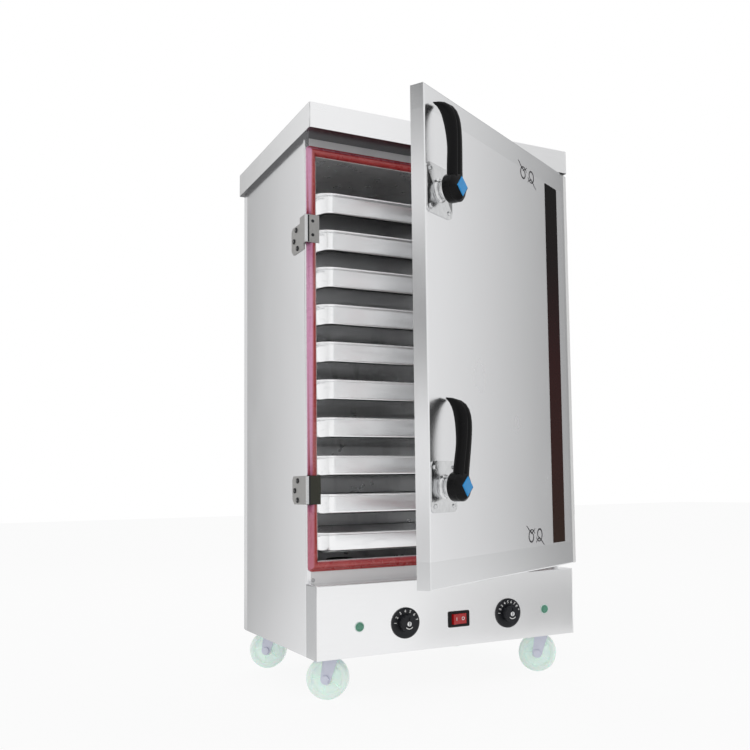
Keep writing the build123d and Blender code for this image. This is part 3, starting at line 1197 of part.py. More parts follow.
turn = radians(CASTER_AXLE_TURN)
FORK_IN = WHEEL_W / 2 + FORK_GAP
for label, x, y in CORNERS:
    # x runs along the rolling direction and y along the axle
    caster = Plane(origin=(x, y, 0), x_dir=(cos(turn), sin(turn), 0), z_dir=(0, 0, 1))
    axle_point = caster.from_local_coords((-CASTER_TRAIL, 0, WHEEL_R))
    axle_plane = Plane(origin=axle_point, x_dir=caster.x_dir, z_dir=caster.y_dir)
    with BuildPart() as caster_fork:
        with BuildSketch(caster.offset(CROWN_Z)):
            RectangleRounded(CROWN_L, 2 * (FORK_IN + FORK_T), KINGPIN_R)
            Circle(KINGPIN_R + FACE_GAP, mode=Mode.SUBTRACT)
        extrude(amount=CROWN_T)
        for side in (-1, 1):
            with BuildSketch(axle_plane.offset(side * (FORK_IN + FORK_T / 2))):
                Circle(FORK_EYE_R)
                with Locations((CASTER_TRAIL, WHEEL_R - CROWN_TOP + CROWN_T / 4)):
                    Rectangle(CROWN_L - KINGPIN_R, CROWN_T / 2)
                make_hull()
                Circle(AXLE_R + AXLE_FIT, mode=Mode.SUBTRACT)
            extrude(amount=FORK_T / 2, both=True)
        with BuildSketch(axle_plane):
            Circle(AXLE_R)
        extrude(amount=FORK_IN + FORK_T + AXLE_HEAD_H / 2, both=True)
        for side in (-1, 1):
            with BuildSketch(axle_plane.offset(side * (FORK_IN + FORK_T + FACE_GAP))):
                RegularPolygon(AXLE_HEAD_R, 6)
            extrude(amount=side * AXLE_HEAD_H)
    caster_fork.part.label = f"caster_fork_{label}"
    export_step(caster_fork.part, f"parts/caster_fork_{label}.step")

    with BuildPart() as caster_wheel:
        with BuildSketch(axle_plane):
            Circle(WHEEL_R)
        extrude(amount=WHEEL_W / 2, both=True)
        fillet(caster_wheel.edges().filter_by(GeomType.CIRCLE), radius=WHEEL_SHOULDER_R)
        for side in (-1, 1):
            with BuildSketch(axle_plane.offset(side * WHEEL_W / 2)):
                Circle(DISH_R)
                Circle(DISH_HUB_R, mode=Mode.SUBTRACT)
            extrude(amount=-side * DISH_DEPTH, mode=Mode.SUBTRACT)
        with BuildSketch(axle_plane):
            Circle(AXLE_R + AXLE_FIT)
        extrude(amount=WHEEL_W, both=True, mode=Mode.SUBTRACT)
    caster_wheel.part.label = f"caster_wheel_{label}"
    export_step(caster_wheel.part, f"parts/caster_wheel_{label}.step")
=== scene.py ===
# %% [markdown]
# A single-door steaming cabinet on four casters, dressed for a studio picture.
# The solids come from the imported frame, in metres, with +Y to the back and +Z up. Each
# keeps its place and gets a finish; some get a finer mesh that stands in for them.

# %% Load the frame
import bmesh, bpy, json, math
from mathutils import Matrix, Vector
from mathutils.geometry import tessellate_polygon

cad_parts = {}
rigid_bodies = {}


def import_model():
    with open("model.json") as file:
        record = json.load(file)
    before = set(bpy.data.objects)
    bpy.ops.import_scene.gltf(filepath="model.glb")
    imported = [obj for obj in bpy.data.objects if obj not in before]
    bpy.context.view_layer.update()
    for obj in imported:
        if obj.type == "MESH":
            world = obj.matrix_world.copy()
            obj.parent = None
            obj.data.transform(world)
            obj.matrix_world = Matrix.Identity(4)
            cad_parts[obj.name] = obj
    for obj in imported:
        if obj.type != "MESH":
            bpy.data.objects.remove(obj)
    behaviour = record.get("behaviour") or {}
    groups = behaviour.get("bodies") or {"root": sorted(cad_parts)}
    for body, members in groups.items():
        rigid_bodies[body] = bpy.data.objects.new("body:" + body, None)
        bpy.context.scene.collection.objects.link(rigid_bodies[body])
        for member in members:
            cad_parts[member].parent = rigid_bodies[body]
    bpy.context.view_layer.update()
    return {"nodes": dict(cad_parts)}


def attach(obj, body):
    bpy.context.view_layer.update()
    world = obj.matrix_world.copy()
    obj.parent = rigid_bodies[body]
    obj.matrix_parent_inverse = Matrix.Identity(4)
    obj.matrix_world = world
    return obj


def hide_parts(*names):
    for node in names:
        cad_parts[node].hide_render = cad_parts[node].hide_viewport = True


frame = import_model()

MM = 0.001
TAU = 2 * math.pi

# %% [markdown]
# Shader maths reads best as sums. A Wire is one socket of a shader, and adding or
# multiplying wires adds the Math node that does it. A Recipe is a tree of nodes with one
# method that makes any other node from its settings and what goes into its sockets.

# %% Wires and recipes
class Wire:
    """One output socket that takes part in arithmetic."""

    def __init__(self, recipe, socket):
        self.recipe, self.socket = recipe, socket

    def maths(self, operation, first, second):
        return self.recipe.node("ShaderNodeMath", {"operation": operation}, {0: first, 1: second})

    def __add__(self, other):
        return self.maths("ADD", self, other)

    def __radd__(self, other):
        return self.maths("ADD", other, self)

    def __sub__(self, other):
        return self.maths("SUBTRACT", self, other)

    def __rsub__(self, other):
        return self.maths("SUBTRACT", other, self)

    def __mul__(self, other):
        return self.maths("MULTIPLY", self, other)

    def __rmul__(self, other):
        return self.maths("MULTIPLY", other, self)

    def fade(self, low, high):
        """Smooth step from 0 at low to 1 at high."""
        return self.recipe.node(
            "ShaderNodeMapRange", {"interpolation_type": "SMOOTHSTEP"},
            {"Value": self, "From Min": low, "From Max": high},
        )


class Recipe:
    """A node tree, wired by name."""

    def __init__(self, tree):
        self.tree = tree
        tree.nodes.clear()

    def node(self, kind, settings=None, feeds=None, out=0):
        made = self.tree.nodes.new(kind)
        for key, value in (settings or {}).items():
            if key == "stops":
                ramp = made.color_ramp
                for place, colour in value[1:-1]:
                    ramp.elements.new(place)
                for element, (place, colour) in zip(ramp.elements, value):
                    element.position, element.color = place, (*colour, 1)
            else:
                setattr(made, key, value)
        for key, value in (feeds or {}).items():
            if isinstance(value, Wire):
                self.tree.links.new(value.socket, made.inputs[key])
            else:
                made.inputs[key].default_value = value
        return Wire(self, made.outputs[out]) if made.outputs else None

    def place(self, which="Object"):
        return self.node("ShaderNodeTexCoord", out=which)

    def mix(self, mask, first, second):
        """Second colour where the mask is 1."""
        feeds = {0: mask}
        for slot_at, colour in ((6, first), (7, second)):
            feeds[slot_at] = colour if isinstance(colour, Wire) else (*colour, 1)
        return self.node("ShaderNodeMix", {"data_type": "RGBA"}, feeds, out=2)

    def speckle(self, size, stretch=(1, 1, 1), detail=2.0):
        """Noise whose grains are about size metres, drawn out along the stretched axes."""
        scaled = self.node(
            "ShaderNodeMapping", feeds={"Vector": self.place(), "Scale": [1 / s for s in stretch]}
        )
        return self.node("ShaderNodeTexNoise", feeds={"Vector": scaled, "Scale": 1 / size, "Detail": detail})

    def along(self, direction, start=(0, 0, 0)):
        """Distance from start along a direction, in metres."""
        offset = self.node(
            "ShaderNodeVectorMath", {"operation": "SUBTRACT"}, {0: self.place(), 1: start}
        )
        return self.node("ShaderNodeVectorMath", {"operation": "DOT_PRODUCT"}, {0: offset, 1: direction}, out=1)

    def greys(self, direction, stops):
        """Grey that runs through stops of (metres along a direction, tone)."""
        first, last = stops[0][0], stops[-1][0]
        way = Vector(direction)
        share = self.along(way / (last - first), way * first)
        shares = [((at - first) / (last - first), (tone,) * 3) for at, tone in stops]
        return self.node("ShaderNodeValToRGB", {"stops": shares}, {"Fac": share})

    def facing(self, which):
        """How far the surface faces along x, y or z, by its own normal."""
        return self.node("ShaderNodeSeparateXYZ", feeds={0: self.place("Normal")}, out="XYZ".index(which))

    def bump(self, height, depth, strength=1.0):
        return self.node("ShaderNodeBump", feeds={"Height": height, "Distance": depth, "Strength": strength})

    def sight(self):
        """1 for the rays that show a thing itself, and 0 for those that carry its light."""
        kinds = ("Is Camera Ray", "Is Glossy Ray", "Is Transmission Ray")
        first, second, third = [self.node("ShaderNodeLightPath", out=kind) for kind in kinds]
        return first + second + third


def finish(name, colour, rough, normal=None, **fixed):
    """A material from functions of its recipe, or plain values, and constants for the rest."""
    material = bpy.data.materials.new(name)
    material.use_nodes = True
    recipe = Recipe(material.node_tree)
    feeds = {"Base Color": colour, "Roughness": rough, "Normal": normal}
    ready = {}
    for key, value in feeds.items():
        value = value(recipe) if callable(value) else value
        if value is not None:
            ready[key] = (*value, 1) if key == "Base Color" and not isinstance(value, Wire) else value
    for key, value in fixed.items():
        value = value(recipe) if callable(value) else value
        ready[key.replace("_", " ")] = value
    surface = recipe.node("ShaderNodeBsdfPrincipled", feeds=ready)
    recipe.node("ShaderNodeOutputMaterial", feeds={"Surface": surface})
    return material


def mottled(size, detail, first, second, fade=None):
    """Colour that noise mixes from two, the second where the noise is high."""
    def colour(r):
        noise = r.speckle(size, detail=detail)
        return r.mix(noise.fade(*fade) if fade else noise, first, second)
    return colour


def uneven(base, size, detail, spread):
    """Roughness that noise raises over a base."""
    return lambda r: base + r.speckle(size, detail=detail) * spread


def pitted(size, detail, depth, strength=1.0):
    """Bump of one fine noise."""
    return lambda r: r.bump(r.speckle(size, detail=detail), depth, strength)


# %% [markdown]
# The camera was found from the cabinet's own straight edges: three families of parallel
# lines give the lens and the tilt, and the cabinet's 700 mm width gives the distance.
# Its lens is a little off centre, which the two small shifts put right.

# %% Camera
PHOTO = 750.0
FOCAL = 917.76
CENTRE = (455.45, 414.49)
YAW, PITCH, ROLL = 0.5086, 0.0767, -0.0171
EYE = Vector((-1.0756, -2.2255, 0.481))

forward = Vector((math.sin(YAW) * math.cos(PITCH), math.cos(YAW) * math.cos(PITCH), math.sin(PITCH)))
level = Vector((math.cos(YAW), -math.sin(YAW), 0))
above = level.cross(forward)
right = math.cos(ROLL) * level + math.sin(ROLL) * above
upward = -math.sin(ROLL) * level + math.cos(ROLL) * above

lens = bpy.data.cameras.new("camera")
lens.sensor_width = 36.0
lens.lens = FOCAL / PHOTO * lens.sensor_width
lens.shift_x = (PHOTO / 2 - CENTRE[0]) / PHOTO
lens.shift_y = (CENTRE[1] - PHOTO / 2) / PHOTO
camera = bpy.data.objects.new("camera", lens)
bpy.context.scene.collection.objects.link(camera)
camera.matrix_world = Matrix.Translation(EYE) @ Matrix((right, upward, -forward)).transposed().to_4x4()
bpy.context.scene.camera = camera
bpy.context.scene.view_settings.view_transform = "Standard"
print("lens", round(lens.lens, 2), "mm")

# %% [markdown]
# Stainless sheet shows what stands round it, so its tones are made with studio cards:
# broad panels that only reflections can see, each fading from white to grey along its
# length. The world gives the soft even light, and three softboxes give it a direction.

# %% World, softboxes and cards
studio = bpy.data.worlds.new("studio")
bpy.context.scene.world = studio
studio.use_nodes = True
air = Recipe(studio.node_tree)
seen = air.node("ShaderNodeClamp", feeds={"Value": air.sight()})
WHITE = (1, 1, 1, 1)
WORLD_LEVEL = 0.66
level_seen = seen * (1 - WORLD_LEVEL) + WORLD_LEVEL
lit = air.node("ShaderNodeBackground", feeds={"Color": WHITE, "Strength": level_seen})
air.node("ShaderNodeOutputWorld", feeds={"Surface": lit})


def softbox(name, at, towards, size, level):
    """Square area lamp that no camera sees, with its brightness as a share of white."""
    lamp = bpy.data.lights.new(name, "AREA")
    lamp.shape, lamp.size = "SQUARE", size
    lamp.energy = level * math.pi * size * size
    box = bpy.data.objects.new(name, lamp)
    box.location = at
    box.rotation_mode = "QUATERNION"
    box.rotation_quaternion = (Vector(towards) - Vector(at)).to_track_quat("-Z", "Y")
    box.visible_camera = False
    box.visible_glossy = False
    bpy.context.scene.collection.objects.link(box)


softbox("key_softbox", (-2.4, -2.8, 2.9), (0, 0, 0.7), 2.0, 1.15)
softbox("fill_softbox", (2.6, -1.4, 2.2), (0, 0, 0.7), 1.6, 0.7)
softbox("back_softbox", (0.6, 2.8, 2.6), (0, 0, 0.7), 1.8, 0.7)


def card(name, corner, side, tall, tone):
    """Panel that only reflections see, glowing by a recipe of its tone."""
    corner, side, tall = Vector(corner), Vector(side), Vector(tall)
    mesh = bpy.data.meshes.new(name)
    mesh.from_pydata([corner, corner + side, corner + side + tall, corner + tall], [], [(0, 1, 2, 3)])
    panel = bpy.data.objects.new(name, mesh)
    bpy.context.scene.collection.objects.link(panel)
    material = bpy.data.materials.new(name)
    material.use_nodes = True
    recipe = Recipe(material.node_tree)
    glow = recipe.node("ShaderNodeEmission", feeds={"Color": tone(recipe), "Strength": 1.0})
    recipe.node("ShaderNodeOutputMaterial", feeds={"Surface": glow})
    mesh.materials.append(material)
    panel.visible_camera = panel.visible_diffuse = panel.visible_shadow = False
    panel.visible_transmission = False


CARD_LOW, CARD_UP = -0.4, (0, 0, 3.8)
RIGHT_STOPS = [
    (-1.8, 0.98), (-0.95, 0.96), (-0.72, 0.90), (-0.50, 0.74), (-0.30, 0.54), (-0.09, 0.30),
    (0.15, 0.24), (0.60, 0.42), (1.30, 0.72), (2.40, 0.85),
]
FRONT_STOPS = [
    (-2.6, 0.80), (-0.8, 0.95), (0.4, 0.98), (1.1, 0.96), (1.7, 0.78), (2.3, 0.66), (3.4, 0.80),
]
BACK_STOPS = [
    (-3.2, 0.92), (-1.6, 0.94), (-1.38, 0.88), (-1.22, 0.66), (-1.04, 0.42), (-0.8, 0.40),
    (-0.1, 0.62), (0.8, 0.86), (2.8, 0.92),
]
LEFT_BANDS = [
    (-0.4, 0.40), (0.05, 0.42), (0.18, 0.46), (0.42, 0.86), (0.60, 1.0), (0.80, 1.0), (1.10, 0.40),
    (1.41, 0.16), (1.66, 0.48), (1.88, 1.0), (2.14, 1.0), (2.26, 0.50), (2.43, 0.10), (3.4, 0.30),
]
LOW_STOPS = [(-2.4, 0.98), (-0.32, 0.98), (-0.22, 0.76), (-0.08, 0.70), (0.08, 0.58), (0.3, 0.48), (1.9, 0.6)]
LOW_WAY = (0.87, 0.49, 0)
BEHIND_WAY = (0.94, 0.34, 0)
BEHIND_STOPS = [
    (-2.2, 0.94), (-0.55, 0.92), (-0.40, 0.88), (-0.25, 0.62), (-0.12, 0.42), (0.3, 0.50), (1.2, 0.7),
]
GAP_STOPS = [(-0.226, 0.8), (-0.12, 1.0), (-0.02, 0.3)]
FLOOR_CARD_Z = 0.004


def run(direction, stops):
    """Tone of a card that runs along one direction."""
    return lambda r: r.greys(direction, stops)


def banded(r):
    """Bands over the height where the door's free edge looks, and one even tone elsewhere."""
    window = r.along((0, 1, 0))
    near = window.fade(-1.15, -0.75) * (1 - window.fade(0.05, 0.45))
    return r.mix(near, (0.80, 0.80, 0.80), r.greys((0, 0, 1), LEFT_BANDS))


card("card_right", (2.0, -1.8, CARD_LOW), (0, 4.2, 0), CARD_UP, run((0, 1, 0), RIGHT_STOPS))
card("card_front", (-2.6, -2.9, CARD_LOW), (6.0, 0, 0), CARD_UP, run((1, 0, 0), FRONT_STOPS))
card("card_back", (-3.2, 2.6, CARD_LOW), (6.0, 0, 0), CARD_UP, run((1, 0, 0), BACK_STOPS))
card("card_low", (-1.2, -2.3, FLOOR_CARD_Z), (3.8, 0, 0), (0, 1.5, 0), run(LOW_WAY, LOW_STOPS))
card("card_behind", (-1.8, 0.3, FLOOR_CARD_Z), (1.45, 0, 0), (0, 2.25, 0), run(BEHIND_WAY, BEHIND_STOPS))
card("card_gap", (-0.3195, -0.226, 0.32), (0, 0.206, 0), (0, 0, 0.93), run((0, 1, 0), GAP_STOPS))
card("card_left", (-2.9, -3.0, CARD_LOW), (0, 5.6, 0), CARD_UP, banded)

# %% [markdown]
# The floor is a plain pale sheet. For the camera it is mostly its own white, so that the
# picture's ground stays white, and the rest of it takes the cabinet's soft shadow.

# %% Floor
FLOOR_HALF = 14.0
FLOOR_OWN_WHITE = 0.90
floor_corners = [(FLOOR_HALF * sx, FLOOR_HALF * sy, 0) for sx, sy in ((-1, -1), (1, -1), (1, 1), (-1, 1))]
floor_mesh = bpy.data.meshes.new("floor")
floor_mesh.from_pydata(floor_corners, [], [(0, 1, 2, 3)])
floor = bpy.data.objects.new("floor", floor_mesh)
bpy.context.scene.collection.objects.link(floor)
floor_paint = bpy.data.materials.new("floor")
floor_paint.use_nodes = True
ground = Recipe(floor_paint.node_tree)
matt = ground.node("ShaderNodeBsdfDiffuse", feeds={"Color": (0.93, 0.93, 0.93, 1)})
white = ground.node("ShaderNodeEmission", feeds={"Color": WHITE, "Strength": 1.0})
both = ground.node("ShaderNodeMixShader", feeds={0: ground.sight() * FLOOR_OWN_WHITE, 1: matt, 2: white})
ground.node("ShaderNodeOutputMaterial", feeds={"Surface": both})
floor_mesh.materials.append(floor_paint)

# %% [markdown]
# Brushed stainless is nearly one colour. Its life is in the fine parallel scratches of
# the mill, in faint broad bands of tone, and in the dull patches where hands and cloths
# have been. The scratches run upright on the tall sheets and level on the cap and box.

# %% Sheet steel
UPRIGHT = (0.02, 0.02, 1.0)
LEVEL = (1.0, 1.0, 0.02)
GRAIN = 0.035


def brushed(name, tone, rough, grain, painted_shade=None, scratch=0.000012, band=0.010):
    """Brushed sheet. The shaded function gives the mask and the tone of painted shade."""
    def colour(r):
        bands = r.speckle(GRAIN * 2, grain, 3.0)
        patches = r.speckle(0.28, detail=4.0)
        pale = [min(1.0, t * (1 + band)) for t in tone]
        deep = [t * (1 - band) for t in tone]
        worn = [t * 0.97 for t in tone]
        sheet = r.mix(patches.fade(0.55, 0.85), r.mix(bands.fade(0.3, 0.7), deep, pale), worn)
        # Painted shade goes over the sheet where the mask is 1.
        if painted_shade:
            mask, under = painted_shade(r)
            return r.mix(mask, sheet, under)
        return sheet

    def rubbed(r):
        wipes = r.speckle(0.12, (1.0, 1.0, 1.6), 4.0)
        fine = r.speckle(GRAIN, grain, 2.0)
        return rough - 0.03 + wipes.fade(0.4, 0.8) * 0.05 + fine * 0.05

    def scratches(r):
        return r.bump(r.speckle(GRAIN, grain, 3.0), scratch)

    return finish(name, colour, rubbed, scratches, Metallic=1.0)


def painted_underside_shade(r):
    """Mask and tone of painted shade on the cap's underside, where little light comes."""
    return 1 - r.facing("Z").fade(-0.85, -0.4), (0.10, 0.10, 0.105)


def painted_return_shade(r):
    """Mask and tone of painted shade on the control box's left return, which the door shades."""
    return 1 - r.facing("X").fade(-0.9, -0.5), (0.52, 0.525, 0.535)


upright_steel = brushed("upright_steel", (0.800, 0.803, 0.815), 0.19, UPRIGHT)
# Painted shade: faces turned down on the cap are coloured near black.
cap_steel = brushed("cap_steel", (0.880, 0.882, 0.89), 0.24, LEVEL, painted_underside_shade)
# Painted shade: faces turned left on the control box are coloured darker grey.
box_steel = brushed("box_steel", (0.885, 0.887, 0.895), 0.20, LEVEL, painted_return_shade)
rack_steel = brushed("rack_steel", (0.78, 0.785, 0.79), 0.26, UPRIGHT)

frame_steel = finish(
    "frame_steel", mottled(0.08, 3.0, (0.80, 0.80, 0.81), (0.88, 0.88, 0.885)),
    uneven(0.34, 0.05, 3.0, 0.1),
    lambda r: r.bump(r.speckle(GRAIN, LEVEL, 3.0), 0.00001), Metallic=0.3,
)

# %% [markdown]
# The door's sheet carries a thin clear film over its middle, whose straight edges show
# as a slight change of tone. The recipe measures along the door from its hinge axis, so
# the film's edges stay on the door when it swings.

# %% Door steel with its film
HINGE = Vector((0.370, -0.224, 0))
AJAR = math.radians(29.84)
DOOR_ALONG = Vector((math.cos(AJAR), math.sin(AJAR), 0))
DOOR_FACES = Vector((math.sin(AJAR), -math.cos(AJAR), 0))
DOOR_FRONT = 35.3
DOOR_BOTTOM, DOOR_TOP = 274.4, 1303.7
DOOR_HUNG = -19.0
FILM_RIGHT, FILM_UP, FILM_DOWN = 33.0, 52.0, 56.0
HIGHLIGHT_FROM, HIGHLIGHT_TO = 21.5, 17.5


def painted_edge_highlight(r):
    """1 on the door's hung edge, which rolls over. A paler band there is a painted highlight."""
    return r.along(DOOR_ALONG, HINGE).fade((DOOR_HUNG - HIGHLIGHT_FROM) * MM, (DOOR_HUNG - HIGHLIGHT_TO) * MM)


def door_colour(r):
    across = r.along(DOOR_ALONG, HINGE)
    height = r.along((0, 0, 1))
    edge = 0.0012
    inside = (
        (1 - across.fade((DOOR_HUNG - FILM_RIGHT) * MM - edge, (DOOR_HUNG - FILM_RIGHT) * MM + edge))
        * height.fade((DOOR_BOTTOM + FILM_DOWN) * MM - edge, (DOOR_BOTTOM + FILM_DOWN) * MM + edge)
        * (1 - height.fade((DOOR_TOP - FILM_UP) * MM - edge, (DOOR_TOP - FILM_UP) * MM + edge))
    )
    bands = r.speckle(GRAIN * 2, UPRIGHT, 3.0)
    bare = r.mix(bands.fade(0.3, 0.7), (0.785, 0.790, 0.800), (0.800, 0.805, 0.815))
    filmed = r.mix(bands.fade(0.3, 0.7), (0.835, 0.838, 0.85), (0.850, 0.853, 0.865))
    # Painted highlight: the hung edge is coloured pale.
    return r.mix(painted_edge_highlight(r), r.mix(inside, bare, filmed), (0.92, 0.925, 0.92))


door_steel = finish(
    "door_steel", door_colour,
    lambda r: 0.24 + r.speckle(0.12, (1, 1, 1.6), 4.0).fade(0.4, 0.8) * 0.04,
    lambda r: r.bump(r.speckle(GRAIN, UPRIGHT, 3.0), 0.000010),
    # The painted highlight on the hung edge is also less metallic.
    Metallic=lambda r: 1 - painted_edge_highlight(r) * 0.85, Coat_Weight=0.2, Coat_Roughness=0.25,
)

# %% [markdown]
# Inside, steam and boiled water leave the chamber duller, with pale scale in streaks and
# a tide line round the tank. The trays are pressed from bright sheet and polished.

# %% Chamber and tray steel
def chamber_colour(r):
    runs = r.speckle(0.09, (0.35, 0.35, 1.5), 4.0).fade(0.45, 0.75)
    height = r.along((0, 0, 1))
    tide = height.fade(0.296, 0.304) * (1 - height.fade(0.306, 0.316))
    steel = r.mix(runs, (0.80, 0.805, 0.81), (0.70, 0.705, 0.71))
    return r.mix(tide * 0.5, steel, (0.80, 0.78, 0.74))


chamber_steel = finish(
    "chamber_steel", chamber_colour,
    uneven(0.22, 0.05, 4.0, 0.14),
    pitted(0.16, 2.0, 0.0006, 0.5),
    Metallic=0.72,
)


def tray_wear(r):
    return r.speckle(0.012, (6.0, 1.0, 1.0), 4.0).fade(0.5, 0.8)


tray_steel = finish(
    "tray_steel", lambda r: r.mix(tray_wear(r), (0.93, 0.933, 0.94), (0.86, 0.865, 0.875)),
    lambda r: 0.20 + tray_wear(r) * 0.08,
    lambda r: r.bump(r.speckle(0.06, (2.0, 2.0, 1.0), 1.0), 0.0005, 0.35),
    Metallic=1.0,
)

door_lining = finish(
    "door_lining", mottled(0.2, 4.0, (0.90, 0.905, 0.91), (0.84, 0.845, 0.85), (0.4, 0.8)),
    uneven(0.14, 0.12, 3.0, 0.08),
    pitted(0.2, 1.0, 0.0004, 0.3), Metallic=1.0,
)

# %% [markdown]
# Silicone, moulded plastic and cast metal each scatter light in their own way: silicone
# is soft and slightly dusty, the levers are glossy with a fine mould texture, and the
# latch bases are plated castings with a gently uneven skin.

# %% Rubber, plastics and castings
def seal_colour(r):
    """Brick red, with a painted lilac-pink highlight on the faces turned left and up, weaker low down."""
    bloom = r.speckle(0.05, detail=4.0).fade(0.45, 0.8)
    red = r.mix(bloom, (0.46, 0.030, 0.030), (0.56, 0.070, 0.065))
    # Painted highlight: lilac pink on faces turned left and up.
    painted_highlight = (0.25 * r.facing("Z") - r.facing("X")).fade(0.02, 0.55)
    height = r.along((0, 0, 1)).fade(0.40, 0.48) * 0.55 + 0.30
    return r.mix(painted_highlight * height, red, (0.78, 0.36, 0.60))


red_silicone = finish(
    "red_silicone", seal_colour,
    uneven(0.22, 0.02, 3.0, 0.12),
    pitted(0.01, 2.0, 0.0001, 0.3),
    Coat_Weight=0.8, Coat_Roughness=0.12, Specular_IOR_Level=0.6,
)
lever_black = finish(
    "lever_black", mottled(0.03, 4.0, (0.0035, 0.0035, 0.004), (0.007, 0.007, 0.008), (0.55, 0.85)),
    uneven(0.20, 0.02, 3.0, 0.10),
    pitted(0.0012, 1.0, 0.00001, 0.5),
    Specular_IOR_Level=0.13,
)
switch_black = finish(
    "switch_black", mottled(0.01, 3.0, (0.004, 0.004, 0.005), (0.009, 0.009, 0.010)), uneven(0.22, 0.01, 3.0, 0.16),
    pitted(0.0008, 1.0, 0.00003, 0.5), Specular_IOR_Level=0.22,
)
dial_black = finish(
    "dial_black", mottled(0.015, 4.0, (0.010, 0.011, 0.015), (0.020, 0.021, 0.027), (0.5, 0.8)),
    uneven(0.34, 0.006, 3.0, 0.12),
    pitted(0.001, 1.0, 0.00003, 0.6), Specular_IOR_Level=0.28,
)
badge_blue = finish(
    "badge_blue", mottled(0.012, 3.0, (0.008, 0.25, 0.62), (0.030, 0.36, 0.80)),
    uneven(0.18, 0.008, 3.0, 0.1), Coat_Weight=0.15, Coat_Roughness=0.08, Specular_IOR_Level=0.25,
)
cast_chrome = finish(
    "cast_chrome", mottled(0.02, 4.0, (0.62, 0.625, 0.635), (0.78, 0.785, 0.79)),
    uneven(0.12, 0.01, 4.0, 0.16),
    pitted(0.008, 3.0, 0.0006, 0.55),
    Metallic=1.0,
)
plated_steel = finish(
    "plated_steel", mottled(0.01, 4.0, (0.52, 0.525, 0.535), (0.40, 0.40, 0.405), (0.4, 0.75)),
    uneven(0.28, 0.006, 3.0, 0.18),
    pitted(0.004, 3.0, 0.0001, 0.6),
    Metallic=1.0,
)


def keeper_colour(r):
    """Grey zinc, near black on the lower keeper's front leaf."""
    zinc = r.mix(r.speckle(0.004, detail=4.0), (0.30, 0.295, 0.285), (0.46, 0.455, 0.445))
    front = 1 - r.facing("Y").fade(-0.9, -0.5)
    lower = 1 - r.along((0, 0, 1)).fade(0.7, 0.8)
    return r.mix(front * lower, zinc, (0.055, 0.056, 0.044))


keeper_zinc = finish(
    "keeper_zinc", keeper_colour, uneven(0.32, 0.006, 3.0, 0.16),
    pitted(0.003, 3.0, 0.0001, 0.6), Metallic=0.8,
)
screw_black = finish(
    "screw_black", mottled(0.002, 3.0, (0.020, 0.020, 0.022), (0.055, 0.055, 0.058)),
    uneven(0.25, 0.002, 3.0, 0.2), Metallic=1.0,
)
brass = finish(
    "brass", mottled(0.01, 4.0, (0.66, 0.50, 0.24), (0.52, 0.38, 0.18)),
    uneven(0.26, 0.008, 3.0, 0.2),
    pitted(0.003, 2.0, 0.0001, 0.5), Metallic=1.0,
)

# %% [markdown]
# The strip on the door is glossy and almost black, with a brown-red glow that is
# strongest halfway down. A ramp over its height gives that.

# %% Strip, lamps, switch and casters
STRIP_LOW, STRIP_TALL = 333.4, 915.6


def strip_colour(r):
    share = r.along((0, 0, 1 / (STRIP_TALL * MM)), (0, 0, STRIP_LOW * MM))
    return r.node("ShaderNodeValToRGB", {"stops": [
        (0.0, (0.030, 0.013, 0.007)), (0.20, (0.034, 0.008, 0.006)), (0.50, (0.028, 0.003, 0.003)),
        (0.78, (0.006, 0.001, 0.001)), (1.0, (0.001, 0.001, 0.001)),
    ]}, {"Fac": share})


dark_strip = finish(
    "dark_strip", strip_colour, uneven(0.22, 0.03, 3.0, 0.12),
    pitted(0.05, 2.0, 0.00005, 0.4), Specular_IOR_Level=0.05,
)
lamp_green = finish(
    "lamp_green", mottled(0.004, 2.0, (0.06, 0.24, 0.16), (0.11, 0.33, 0.23)),
    uneven(0.18, 0.003, 2.0, 0.1), Coat_Weight=0.5,
    Emission_Color=(0.10, 0.60, 0.30, 1), Emission_Strength=0.04,
)
rocker_red = finish(
    "rocker_red", mottled(0.006, 3.0, (0.26, 0.003, 0.006), (0.42, 0.008, 0.010)),
    uneven(0.16, 0.004, 2.0, 0.1), Coat_Weight=0.4,
    Emission_Color=(0.85, 0.02, 0.02, 1), Emission_Strength=0.12,
)
caster_zinc = finish(
    "caster_zinc", mottled(0.012, 4.0, (0.66, 0.68, 0.80), (0.76, 0.78, 0.89)),
    uneven(0.28, 0.008, 3.0, 0.12),
    pitted(0.006, 2.0, 0.0001, 0.4), Metallic=0.35,
)
# The emission is a painted glow: light that seems to come through the pale wheels.
mint_polyurethane_painted_glow = finish(
    "mint_polyurethane_painted_glow", mottled(0.02, 3.0, (0.84, 0.975, 0.91), (0.93, 0.995, 0.96)),
    uneven(0.16, 0.01, 3.0, 0.10),
    pitted(0.006, 2.0, 0.0001, 0.4),
    Transmission_Weight=0.12, Subsurface_Weight=0.3, Subsurface_Scale=0.01,
    Emission_Color=(0.78, 1.0, 0.90, 1), Emission_Strength=0.14,
)
heater_black = finish(
    "heater_sheath", mottled(0.03, 4.0, (0.20, 0.19, 0.19), (0.34, 0.31, 0.28)),
    uneven(0.35, 0.01, 3.0, 0.2),
    pitted(0.003, 3.0, 0.0001, 0.6), Metallic=1.0,
)
wool = finish(
    "mineral_wool", mottled(0.01, 5.0, (0.70, 0.60, 0.36), (0.86, 0.78, 0.56)), 0.95,
    pitted(0.004, 5.0, 0.002, 0.8),
)
grey_moulding = finish(
    "grey_moulding", mottled(0.02, 3.0, (0.60, 0.58, 0.52), (0.68, 0.66, 0.60)),
    uneven(0.45, 0.01, 3.0, 0.15),
    pitted(0.0015, 1.0, 0.00004, 0.6),
)


def printed_paint(name, deep, pale, rough):
    """Printed colour that is a little thinner in places."""
    return finish(name, mottled(0.003, 3.0, pale, deep, (0.4, 0.8)), uneven(rough, 0.002, 2.0, 0.1))


